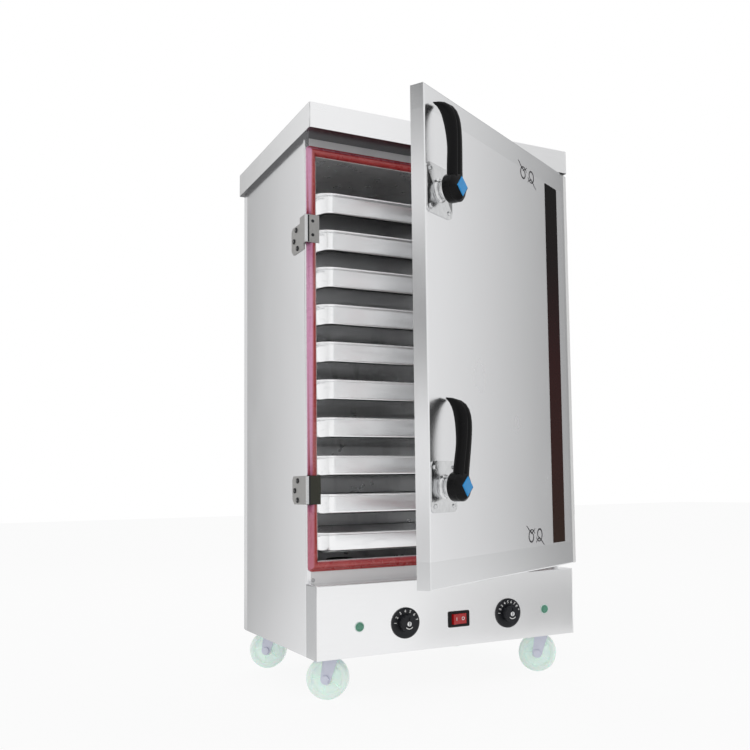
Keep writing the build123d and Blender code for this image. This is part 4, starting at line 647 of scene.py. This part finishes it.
mark_white = printed_paint("mark_white", (0.80, 0.80, 0.79), (0.87, 0.87, 0.86), 0.45)
ring_mint = printed_paint("ring_mint", (0.60, 0.80, 0.73), (0.69, 0.86, 0.80), 0.30)
ink = printed_paint("ink", (0.050, 0.048, 0.053), (0.030, 0.028, 0.033), 0.40)

# %% [markdown]
# The solids keep their meshes. A weld and a small bevel, both as modifiers, give folded
# sheet and castings the fine bright line that real edges show.

# %% Dress the solids
FOLD, CASTING, SMALL = 0.7, 0.9, 0.35
DRESS = {
    upright_steel: (0, "side_panel_left side_panel_right back_panel"),
    frame_steel: (0, "front_frame"),
    cap_steel: (2.2, "top_cap"),
    box_steel: (FOLD, "control_panel"),
    door_steel: (0, "door_skin"),
    door_lining: (0, "door_liner"),
    rack_steel: (0.3, "tray_rack_left tray_rack_right steam_vent float_arm"),
    chamber_steel: (0, "inner_liner"),
    keeper_zinc: (SMALL, "keepers"),
    plated_steel: (
        SMALL, "base_pan hinge_frame_halves hinge_door_halves latch_cam_lower latch_cam_upper drain_lever",
    ),
    cast_chrome: (CASTING, "latch_bases"),
    lever_black: (SMALL, "cable_gland"),
    badge_blue: (SMALL, "handle_badge_lower handle_badge_upper"),
    dark_strip: (0, "door_strip"),
    dial_black: (0.5, "thermostat_knob timer_knob"),
    switch_black: (0.5, "switch_housing"),
    rocker_red: (0.5, "power_rocker"),
    lamp_green: (SMALL, "indicator_lamps"),
    grey_moulding: (0.5, "thermostat_body timer_body contactor"),
    brass: (SMALL, "float_valve drain_valve"),
    heater_black: (0, "heating_elements"),
    wool: (0, "insulation door_core"),
    caster_zinc: (
        0.6, "caster_plates caster_fork_front_left caster_fork_front_right caster_fork_back_left"
        " caster_fork_back_right",
    ),
}


def dress(thing, material, bevel):
    """One finish on every slot, and a bevel of so many millimetres."""
    if not thing.data.materials:
        thing.data.materials.append(material)
    for place in range(len(thing.material_slots)):
        thing.material_slots[place].link = "OBJECT"
        thing.material_slots[place].material = material
    if bevel:
        weld = thing.modifiers.new("weld", "WELD")
        weld.merge_threshold = 0.00001
        edge = thing.modifiers.new("edge", "BEVEL")
        edge.width, edge.segments = bevel * MM, 2
        edge.limit_method, edge.angle_limit = "ANGLE", math.radians(40)
        edge.harden_normals = True


for material, (bevel, names) in DRESS.items():
    for node_name in names.split():
        dress(frame["nodes"][node_name], material, bevel)
print("dressed", sum(len(names.split()) for bevel, names in DRESS.values()), "solids")

# %% [markdown]
# New pieces are built from plain lists of points. A frame of axes says where a piece
# sits and which way it faces, so a screw is made once and used on any face.

# %% Makers of meshes
def axes(origin, out, up=(0, 0, 1)):
    """Frame whose z points out and whose y points up, with its origin in millimetres."""
    z = Vector(out).normalized()
    x = Vector(up).cross(z).normalized()
    y = z.cross(x)
    turn = Matrix((x, y, z)).transposed().to_4x4()
    return Matrix.Translation(Vector(origin) * MM) @ turn


def door_axes(along, height, out=0.0):
    """Frame on the door's outer face, along it from the hinge axis and at a height."""
    at = HINGE / MM + DOOR_ALONG * along + DOOR_FACES * (DOOR_FRONT + out) + Vector((0, 0, height))
    return axes(at, DOOR_FACES)


def build(name, points, faces, material, body, slot, at=None, smooth=True):
    """Mesh in millimetres, set in a frame, riding on a body."""
    at = at or Matrix.Identity(4)
    mesh = bpy.data.meshes.new(name)
    mesh.from_pydata([at @ (Vector(p) * MM) for p in points], [], faces)
    mesh.validate()
    shell = bmesh.new()
    shell.from_mesh(mesh)
    bmesh.ops.recalc_face_normals(shell, faces=shell.faces)
    shell.to_mesh(mesh)
    shell.free()
    for face in mesh.polygons:
        face.use_smooth = smooth
    mesh.materials.append(material)
    made = bpy.data.objects.new(name, mesh)
    bpy.context.scene.collection.objects.link(made)
    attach(made, body)
    return made


def strips(rings, ends="capped"):
    """Points and faces of a skin over rings. Its ends are capped, or joined to each other."""
    count = len(rings[0])
    points = [p for ring in rings for p in ring]
    faces = []
    for low in range(len(rings) - (ends == "capped")):
        high = (low + 1) % len(rings)
        for i in range(count):
            j = (i + 1) % count
            faces.append((low * count + i, low * count + j, high * count + j, high * count + i))
    if ends == "capped":
        faces.append(tuple(reversed(range(count))))
        faces.append(tuple((len(rings) - 1) * count + i for i in range(count)))
    return points, faces


def circle(radius, sides, height):
    """Ring of points round z, at a height."""
    turns = [TAU * i / sides for i in range(sides)]
    return [(radius * math.cos(t), radius * math.sin(t), height) for t in turns]


def lathe(profile, sides=48, ends="capped"):
    """Skin of (radius, height) pairs turned round z."""
    return strips([circle(r, sides, h) for r, h in profile], ends)


def arc(cx, cy, r, start, end, steps):
    """Points of an arc, in degrees, both ends included."""
    turns = [math.radians(start + (end - start) * i / steps) for i in range(steps + 1)]
    return [(cx + r * math.cos(t), cy + r * math.sin(t)) for t in turns]

# %% [markdown]
# A tray is one skin over rings of a rounded rectangle. Each ring has an offset from the
# wall's outline and a depth, and the list of them is the tray's section: the pressed
# bottom corner, the leaning wall, the flat rim and the edge rolled over a wire.

# %% Trays
TRAY_COUNT, TRAY_PITCH, TRAY_TOP = 10, 90.6, 1190.0
TRAY_X, TRAY_Y, TRAY_CORNER, TRAY_MID = 300.0, 200.0, 38.0, 14.0


def tray_section():
    """(offset, depth) from the middle of the floor's outside round to its inside."""
    outside = [(-24.0, -48.0)] + arc(-12.2, -40.0, 8.0, -90, -8, 7)
    neck = [(-1.4, -6.5)] + arc(0.9, -3.3, 2.1, 170, 95, 3)
    bead = arc(4.8, -3.2, 3.2, -170, 92, 12)
    rim = arc(0.2, -2.4, 2.4, 88, 172, 5)
    inside = arc(-12.4, -40.0, 6.8, -8, -90, 7) + [(-24.0, -46.8)]
    return outside + neck + bead + rim + inside


def tray_ring(offset, depth):
    """Rounded rectangle at an offset from the wall's outline."""
    radius = max(TRAY_CORNER + offset, 2.0)
    half_x, half_y = TRAY_X + offset - radius, TRAY_Y + offset - radius
    ring = []
    for start, sx, sy in ((0, 1, 1), (90, -1, 1), (180, -1, -1), (270, 1, -1)):
        for x, y in arc(sx * half_x, sy * half_y, radius, start, start + 90, 9):
            ring.append((x, y + TRAY_MID, depth))
    return ring


for level_at in range(TRAY_COUNT):
    rim_z = TRAY_TOP - level_at * TRAY_PITCH
    node_name = f"tray_{level_at + 1:02d}"
    points, faces = strips([tray_ring(o, rim_z + d) for o, d in tray_section()])
    pan = build(f"pan_{level_at + 1:02d}", points, faces, tray_steel, node_name, "tray_steel")
    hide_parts(node_name)
print("tray points", len(points))

# %% [markdown]
# The casters' wheels are cast in one clear pale compound. Turned sections give the
# rounded tread and the dished sides, and five ribs stand in each dish.

# %% Wheels
WHEEL_R, WHEEL_HALF, AXLE_R, TRAIL = 48.0, 15.0, 6.1, 14.0
RIB_FOOT, RIB_TOP = 8.0, 12.6
CASTER_TURN = math.radians(-35)
ROLLS = Vector((math.cos(CASTER_TURN), math.sin(CASTER_TURN), 0))
AXLE_WAY = Vector((-math.sin(CASTER_TURN), math.cos(CASTER_TURN), 0))
CASTERS = {
    "front_left": (-288.0, -222.0), "front_right": (288.0, -222.0),
    "back_left": (-288.0, 218.0), "back_right": (288.0, 218.0),
}


def wheel_section():
    """Closed section of the wheel, from its bore round the tread and back."""
    side = [(AXLE_R, -WHEEL_HALF), (13.0, -WHEEL_HALF)] + arc(13.0, -13.5, 1.5, -90, 0, 3)
    side += [(15.2, -9.4), (17.0, -8.6), (31.0, -8.6), (33.5, -9.6), (35.0, -14.0), (36.2, -WHEEL_HALF)]
    side += arc(42.5, -9.5, 5.5, -90, -8, 6)
    return side + [(r, -h) for r, h in reversed(side)]


def rib(turn, side):
    """Tapering rib in the wheel's dish."""
    c, s = math.cos(turn), math.sin(turn)
    outline = [(14.5, -1.8), (14.5, 1.8), (34.5, 1.2), (34.5, -1.2)]
    foot = [(r * c - across * s, r * s + across * c, RIB_FOOT * side) for r, across in outline]
    return strips([foot, [(x, y, RIB_TOP * side) for x, y, z in foot]])


def joined(parts):
    """Several lists of points and faces as one."""
    points, faces = [], []
    for some, skins in parts:
        faces += [tuple(len(points) + i for i in face) for face in skins]
        points += some
    return points, faces


for corner, (x, y) in CASTERS.items():
    hub = Vector((x, y, WHEEL_R)) - ROLLS * TRAIL
    spot = axes(hub, AXLE_WAY)
    tyre = lathe(wheel_section(), 72, "joined")
    ribs = [rib(TAU * i / 5, side) for i in range(5) for side in (-1, 1)]
    body = f"wheel_{corner}"
    wheel = build(body, *joined([tyre] + ribs), mint_polyurethane_painted_glow, body, "mint_wheel", spot, False)
    for face in wheel.data.polygons[: len(tyre[1])]:
        face.use_smooth = True
    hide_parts(f"caster_wheel_{corner}")

# %% [markdown]
# The door seal is a hollow silicone bulb on a flat foot. Its section is swept round the
# opening, and it is pressed flat under the two keepers, where the leaf covers it.

# %% Door seal
OPEN_X, OPEN_LOW, OPEN_TOP, FRAME_FRONT = 323.0, 312.0, 1264.0, -212.0
SEAL_SECTION = [
    (23, 0), (23, 3.5), (21.8, 4.6), (19.8, 5.0), (18.2, 6.2), (16.9, 8.6), (14.6, 11.1), (11.2, 12.5),
    (7.6, 12.4), (4.4, 11.0), (2.0, 8.4), (1.0, 5.4), (0.6, 2.5), (0, 0),
]
KEEPER_SPANS = [(1088.4 + 30.3, 1088.4 - 36.3), (478.0 + 30.3, 478.0 - 36.3)]
FLAT = 0.45


def seal_ring(offset, depth):
    """One loop of the seal, at an offset out from the opening and a depth forward."""
    radius = max(offset - 13.0, 0.4)
    half, low, top = OPEN_X + offset - radius, OPEN_LOW - offset + radius, OPEN_TOP + offset - radius
    y = FRAME_FRONT - depth
    ring = []
    for start, cx, cz in ((0, half, top), (90, -half, top), (180, -half, low), (270, half, low)):
        ring += [(x, y, z) for x, z in arc(cx, cz, radius, start, start + 90, 5)]
        if start == 90:
            edge = -half - radius
            for high, down in KEEPER_SPANS:
                flat = FRAME_FRONT - depth * FLAT
                ring += [(edge, y, high + 0.2), (edge, flat, high), (edge, flat, down), (edge, y, down - 0.2)]
    return ring


points, faces = strips([seal_ring(o, d) for o, d in SEAL_SECTION], "joined")
seal = build("seal_bulb", points, faces, red_silicone, "cabinet", "red_silicone")
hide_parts("door_gasket")
print("seal points", len(points))

# %% [markdown]
# Each lever is a casting with two long ridges and a groove between them. The arm is a
# loft: at every station along it, one section is stretched between the lever's inner and
# outer lines. The hub starts round and turns into the square seat of the badge.

# %% Levers
LEVER_OUTER = [
    (27.0, 0.0), (27.5, 13.2), (28.2, 26.4), (29.0, 39.6), (30.0, 52.8), (31.0, 66.0), (31.9, 79.2), (32.7, 92.4),
    (33.2, 105.6), (33.4, 118.9), (32.7, 132.1), (30.5, 145.1), (26.1, 157.6), (18.5, 168.3), (7.7, 175.9),
    (-4.8, 179.9), (-17.0, 181.4),
]
LEVER_INNER = [
    (3.0, 0.0), (3.4, 11.8), (3.9, 23.6), (4.5, 35.4), (5.3, 47.2), (6.3, 58.9), (7.5, 70.7), (8.1, 82.5),
    (7.8, 94.3), (6.8, 106.1), (5.4, 117.6), (3.6, 128.8), (1.3, 139.6), (-1.3, 150.2), (-5.0, 160.2),
    (-10.6, 169.8), (-18.4, 178.4),
]
ARM_SECTION = [
    (-1.0, 0.52), (-0.98, 0.76), (-0.90, 0.90), (-0.74, 0.98), (-0.56, 1.0), (-0.40, 0.96), (-0.27, 0.85),
    (-0.16, 0.80), (-0.07, 0.85), (0.04, 0.95), (0.22, 1.0), (0.52, 1.0), (0.78, 0.97), (0.93, 0.87), (1.0, 0.62),
    (1.0, 0.35), (0.94, 0.12), (0.80, 0.02), (0.40, 0.05), (0.0, 0.07), (-0.40, 0.05), (-0.80, 0.02), (-0.94, 0.12),
    (-1.0, 0.30),
]
ARM_WIDE, ARM_NARROW, ARM_LONG = 16.5, 12.5, 182.0
HUB_R, HUB_FOOT, SEAT_HALF = 30.0, 24.9, 24.04
HUB_RINGS = [
    (0.0, 0.0, 0.95), (0.6, 0.0, 0.985), (1.8, 0.0, 1.0), (16.0, 0.0, 1.0), (17.0, 0.0, 0.985), (18.0, 0.0, 1.0),
    (21.5, 0.0, 1.0), (24.5, 0.18, 0.99), (28.0, 0.62, 0.98), (30.2, 0.92, 1.0), (31.0, 1.0, 1.0), (31.6, 1.0, 0.97),
]


def arm_rings():
    for (out, along), (back, along_back) in zip(LEVER_OUTER, LEVER_INNER):
        half = ARM_WIDE + (ARM_NARROW - ARM_WIDE) * along / ARM_LONG
        rise, reach = out - back, along - along_back
        yield [(u * half, along_back + n * reach, back + n * rise) for u, n in ARM_SECTION]


def hub_ring(height, square, scale, sides=64):
    """Ring between a circle and the square seat, which stands on its corner."""
    ring = []
    for i in range(sides):
        c, s = math.cos(TAU * i / sides), math.sin(TAU * i / sides)
        reach = HUB_R + square * (SEAT_HALF / (abs(c) + abs(s)) - HUB_R)
        ring.append((reach * scale * c, reach * scale * s, height))
    return ring


SPINDLE = -669.6
LATCHES = {"lower": (478.0, 5.0), "upper": (1088.4, -5.0)}


def lever_axes(which, out=0.0):
    height, lean = LATCHES[which]
    return door_axes(SPINDLE, height, HUB_FOOT + out) @ Matrix.Rotation(math.radians(-lean), 4, "Z")


for which in LATCHES:
    parts = [strips(list(arm_rings())), strips([hub_ring(*ring) for ring in HUB_RINGS])]
    lever = build(
        f"lever_{which}", *joined(parts), lever_black, f"handle_{which}", "black_plastic", lever_axes(which)
    )
    crease = lever.modifiers.new("crease", "EDGE_SPLIT")
    crease.split_angle = math.radians(42)
    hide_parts(f"handle_lever_{which}")

# %% [markdown]
# Under each lever the cast base carries a turned collar with a groove. It is one more
# lathe profile, set round the boss of the base.

# %% Latch collars
COLLAR = [
    (19.6, 3.0), (25.0, 3.0), (25.0, 4.6), (22.6, 6.0), (21.4, 8.4), (21.4, 11.8), (20.3, 12.6), (20.3, 13.8),
    (21.4, 14.6), (21.4, 19.8), (20.6, 22.6), (19.6, 23.8),
]
for which, (height, lean) in LATCHES.items():
    points, faces = lathe(COLLAR, 64, "joined")
    collar = build(
        f"latch_collar_{which}", points, faces, cast_chrome, "door", "chrome_cast", door_axes(SPINDLE, height)
    )
    crease = collar.modifiers.new("crease", "EDGE_SPLIT")
    crease.split_angle = math.radians(35)

# %% [markdown]
# Cross-head screws hold the latch bases, the keepers and the hinge leaves. The head is
# a flat-topped dome, and the cross is a real recess: its outline is cut out of the top
# face when that face is divided into triangles.

# %% Screws
def screw_head(radius, height, sides=28):
    """Domed head on z = 0 with a cross cut in its top."""
    arm, half_w, deep = 0.52 * radius, 0.13 * radius, 0.45 * height
    top = circle(0.74 * radius, sides, height)
    cross = []
    for quarter in range(4):
        c, s = math.cos(quarter * math.pi / 2), math.sin(quarter * math.pi / 2)
        for px, py in ((arm, -half_w), (arm, half_w), (half_w, half_w)):
            cross.append((px * c - py * s, px * s + py * c, height))
    points = top + cross
    loops = [[Vector(p) for p in loop] for loop in (top, cross)]
    faces = [tuple(corners) for corners in tessellate_polygon(loops)]
    count, sunk = len(cross), len(points)
    points += [(x, y, height - deep) for x, y, z in cross]
    for i in range(count):
        j = (i + 1) % count
        faces.append((sides + j, sides + i, sunk + i, sunk + j))
    faces.append(tuple(range(sunk, sunk + count)))
    previous = list(range(sides))
    for r, h in ((0.88, 0.93), (0.97, 0.72), (1.0, 0.45), (1.0, 0.0)):
        start = len(points)
        points += circle(r * radius, sides, h * height)
        for i in range(sides):
            j = (i + 1) % sides
            faces.append((previous[i], start + i, start + j, previous[j]))
        previous = list(range(start, start + sides))
    faces.append(tuple(previous))
    return points, faces


def screws(name, spots, radius, height, body, material=None, slot="zinc_steel"):
    """Heads at several frames, as one piece."""
    parts = []
    for spot in spots:
        points, faces = screw_head(radius, height)
        parts.append(([tuple((spot @ (Vector(p) * MM)) / MM) for p in points], faces))
    return build(name, *joined(parts), material or screw_black, body, slot, None, False)


for which, (height, lean) in LATCHES.items():
    spots = [door_axes(SPINDLE + sx * 35.5, height + sz * 39.0, 3.0) for sx in (-1, 1) for sz in (-1, 1)]
    screws(f"latch_screws_{which}", spots, 4.9, 3.0, "door", cast_chrome, "chrome_cast")

KEEPER_SCREWS = {
    "lower": ((46.0, 19.0), (66.0, -4.0), (47.0, -26.0)),
    "upper": ((49.0, 6.0), (65.0, -18.0), (41.0, -40.0)),
}
GASKET_Y, SIDE_X = -224.8, 350.0
for which, places in KEEPER_SCREWS.items():
    height = LATCHES[which][0]
    spots = [axes((-SIDE_X - 2.5, FRAME_FRONT + y, height + z), (-1, 0, 0)) for y, z in places]
    screws(f"keeper_side_screws_{which}", spots, 6.4, 2.8, "cabinet")
spots = [axes((-SIDE_X + 16, GASKET_Y + 0.8, LATCHES["upper"][0] + z), (0, -1, 0)) for z in (15.0, -18.0)]
screws("keeper_front_screws", spots, 4.4, 0.9, "cabinet")
spots = [axes((x, FRAME_FRONT, 269.5), (0, -1, 0)) for x in (-333.4, 333.4)]
screws("frame_screws", spots, 4.6, 2.2, "cabinet", plated_steel)
for height in (430.0, 1150.0):
    spots = [axes((SIDE_X + 3, y, height + z), (1, 0, 0)) for y in (-188, -170) for z in (20, -20)]
    screws(f"hinge_screws_{int(height)}", spots, 4.0, 2.0, "cabinet")

# %% [markdown]
# The keepers are folded from strip. Each gets two slim strips: a chrome one down the fold as a
# painted highlight, and a black one beside it as a painted shadow. The back corners of the body
# have a lapped flange that leans out by a millimetre, which is why it shows as a paler line than the side.

# %% Folds and flanges
def prism(outline, low, high):
    """Upright prism over an outline of (x, y) points."""
    return strips([[(x, y, low) for x, y in outline], [(x, y, high) for x, y in outline]])


FOLD_HIGHLIGHT_LINE = [
    (-352.9, -224.9), (-346.6, -224.9), (-346.6, -224.6), (-352.3, -224.6), (-352.3, -222.0), (-352.9, -222.0),
]
SHADOW_LINE = [(-346.4, -224.88), (-342.6, -224.88), (-342.6, -224.6), (-346.4, -224.6)]
# Painted highlight on the fold in chrome, painted shadow beside it in black.
for which, (height, lean) in LATCHES.items():
    for name, outline, material in (("fold", FOLD_HIGHLIGHT_LINE, cast_chrome), ("shadow", SHADOW_LINE, screw_black)):
        strip = prism(outline, height - 35.0, height + 29.0)
        build(f"keeper_{name}_{which}", *strip, material, "cabinet", "zinc_steel", None, False)

for side, name in ((-1, "left"), (1, "right")):
    flange = prism([(side * 349.9, 251.0), (side * 351.4, 276.6), (side * 349.9, 276.6)], 100.0, 1303.0)
    build(f"corner_flange_{name}", *flange, upright_steel, "cabinet", "brushed_body", None, False)

# %% [markdown]
# Numbers on the dials are printed. Blender's own font gives their outlines, each is
# turned into a thin mesh, and an arc of frames sets them round the dial.

# %% Dial marks
def printed(text, size, at, thick=0.12):
    """Points and faces of thin text, centred in a frame, in millimetres."""
    words = bpy.data.curves.new("words", "FONT")
    words.body, words.size, words.extrude = text, size, thick / 2
    words.offset = size / 40
    words.align_x, words.align_y = "CENTER", "CENTER"
    holder = bpy.data.objects.new("words", words)
    mesh = bpy.data.meshes.new_from_object(holder)
    points = [tuple((at @ (v.co * MM)) / MM) for v in mesh.vertices]
    faces = [tuple(face.vertices) for face in mesh.polygons]
    for data, store in ((holder, bpy.data.objects), (words, bpy.data.curves), (mesh, bpy.data.meshes)):
        store.remove(data)
    return points, faces


BOX_FACE, SKIRT_H, GRIP_TOP, KNOB_Z = -277.3, 5.0, 22.0, 164.0
DIALS = {
    "thermostat_knob": (-132.0, "1234567"),
    "timer_knob": (149.0, "123456789"),
}
MARK_R, FIRST_MARK, LAST_MARK = 27.4, 176.0, 14.0
for knob, (x, numbers) in DIALS.items():
    middle = axes((x, BOX_FACE, KNOB_Z), (0, -1, 0))
    parts = []
    for i, number in enumerate(numbers):
        turn = math.radians(FIRST_MARK + (LAST_MARK - FIRST_MARK) * i / (len(numbers) - 1))
        at = middle @ Matrix.Translation(
            Vector((MARK_R * math.cos(turn), MARK_R * math.sin(turn), SKIRT_H + 0.08)) * MM
        ) @ Matrix.Rotation(turn - math.pi / 2, 4, "Z")
        parts.append(printed(number, 9.0, at))
    build(f"{knob}_numbers", *joined(parts), mark_white, knob, "control_plastic", None, False)
    top = middle @ Matrix.Translation((0, 0, GRIP_TOP * MM))
    disc = lathe([(0.4, 0.0), (5.6, 0.0), (5.6, 0.5), (4.9, 1.0), (0.4, 1.0)], 40)
    build(f"{knob}_centre", *disc, cast_chrome, knob, "control_plastic", top)
    slot_mark = [(-0.9, -4.2, 1.12), (0.9, -4.2, 1.12), (0.9, 4.2, 1.12), (-0.9, 4.2, 1.12)]
    slot_foot = [(px, py, 0.9) for px, py, pz in slot_mark]
    build(f"{knob}_slot", *strips([slot_foot, slot_mark]), dial_black, knob, "control_plastic", top, False)
    outer, inner = arc(0, -1.0, 11.4, -140, -40, 14), arc(0, -0.2, 10.2, -140, -40, 14)
    outline = outer + list(reversed(inner))
    crescent = strips([[(px, py, 0.0) for px, py in outline], [(px, py, 0.15) for px, py in outline]])
    build(f"{knob}_crescent", *crescent, mark_white, knob, "control_plastic", top, False)

# %% [markdown]
# The rocker carries the two usual marks, one on each of its sloping halves. Each half
# has its own frame, worked out from the rocker's tilt and the slope of the half.

# %% Switch and lamp details
ROCKER_AT, ROCKER_TILT = Vector((10.0, -271.0, 161.5)), math.radians(8.0)
ROCK_X = Vector((math.cos(ROCKER_TILT), math.sin(ROCKER_TILT), 0))
ROCK_Y = Vector((-math.sin(ROCKER_TILT), math.cos(ROCKER_TILT), 0))
parts = []
for side, text in ((-1, "I"), (1, "O")):
    out = (ROCK_X * -side * 0.1175 - ROCK_Y * 0.993).normalized()
    at = ROCKER_AT + ROCK_X * side * 9.6 - ROCK_Y * 10.35 + out * 0.1
    parts.append(printed(text, 11.0, axes(at, out)))
build("rocker_marks", *joined(parts), mark_white, "power_rocker", "red_rocker", None, False)

for x, name in ((-247.0, "left"), (258.0, "right")):
    ring = lathe([(9.6, 0.0), (11.6, 0.0), (11.4, 1.0), (10.4, 1.6), (9.6, 1.2)], 48, "joined")
    build(f"lamp_ring_{name}", *ring, ring_mint, "cabinet", "green_lamp", axes((x, -277.0, 165.0), (0, -1, 0)))

# %% [markdown]
# Two small scrolls are printed near the strip, a plain ornament of paired spirals. A
# spiral is a circle whose radius shrinks, and a thin ribbon is drawn along it.

# %% Scrolls on the door
def ribbon(line, wide, thick=0.12):
    """Flat ribbon along a line of (x, y) points, tapering at both ends."""
    left, rite = [], []
    for i, (x, y) in enumerate(line):
        ax, ay = line[max(i - 1, 0)]
        bx, by = line[min(i + 1, len(line) - 1)]
        run = math.hypot(bx - ax, by - ay) or 1.0
        half = wide / 2 * (0.45 + 0.55 * math.sin(math.pi * i / (len(line) - 1)))
        left.append((x - (by - ay) / run * half, y + (bx - ax) / run * half))
        rite.append((x + (by - ay) / run * half, y - (bx - ax) / run * half))
    outline = left + list(reversed(rite))
    low, high = [(x, y, 0.0) for x, y in outline], [(x, y, thick) for x, y in outline]
    count, n = len(line), len(outline)
    faces = [(i, (i + 1) % n, n + (i + 1) % n, n + i) for i in range(n)]
    for i in range(count - 1):
        j = n - 1 - i
        faces += [(i, i + 1, j - 1, j), (n + j, n + j - 1, n + i + 1, n + i)]
    return low + high, faces


def spiral(cx, cy, start_r, end_r, start, turns, steps=44):
    """Points of a spiral round a centre, from one radius to another."""
    line = []
    for i in range(steps + 1):
        share = i / steps
        r = start_r + (end_r - start_r) * share
        t = math.radians(start) + turns * TAU * share
        line.append((cx + r * math.cos(t), cy + r * math.sin(t)))
    return line


def scroll():
    """Two spirals, mirrored through the middle, with a tail each."""
    parts = []
    for m in (-1, 1):
        for line, wide in (
            (spiral(21, 2.0, 18.0, 7.5, 200, 1.25), 4.2),
            ([(2 + 46 * i / 20, -17 + 9 * math.sin(i / 20 * 4.2)) for i in range(21)], 3.4),
        ):
            parts.append(ribbon([(m * x, m * y) for x, y in line], wide))
    return joined(parts)


SCROLL_ALONG = DOOR_HUNG - 235.0
for name, height in (("upper", DOOR_TOP - 62.0), ("lower", DOOR_BOTTOM + 83.0)):
    build(f"scroll_{name}", *scroll(), ink, "door", "door_steel", door_axes(SCROLL_ALONG, height, 0.15), False)

# %% [markdown]
# At the back, screws hold the panel, and the water inlet and the drain have real
# threads to show. A thread this fine is drawn as a row of ridges in a lathe profile.

# %% Back details
def thread(radius, length, pitch=1.8, proud=0.55):
    """Row of ridges round z."""
    profile, h = [(radius, 0.0)], 0.4
    while h + pitch < length:
        ridge = ((0.0, 0.0), (proud, 0.35), (proud, 0.5), (0.0, 0.85))
        profile += [(radius + out, h + pitch * share) for out, share in ridge]
        h += pitch
    return lathe(profile + [(radius, length), (radius - 0.5, length), (radius - 0.5, 0.0)], 48, "joined")


BACK_FACE, BACKWARD, THREAD_LONG = 277.0, (0, 1, 0), 14.5
for name, radius, at in (("inlet", 10.5, (-250.0, 282.0, 300.0)), ("drain", 13.2, (230.0, 309.0, 195.0))):
    ridges = thread(radius, THREAD_LONG)
    build(f"{name}_thread", *ridges, brass, "cabinet", "brass_fitting", axes(at, BACKWARD))
places = [(x, z) for x in (-322.0, 322.0) for z in (140.0, 420.0, 700.0, 980.0, 1250.0)]
places += [(x, z) for x in (-110.0, 110.0) for z in (140.0, 1285.0)]
spots = [axes((x, BACK_FACE, z), BACKWARD) for x, z in places]
screws("back_screws", spots, 4.4, 1.8, "cabinet", plated_steel)
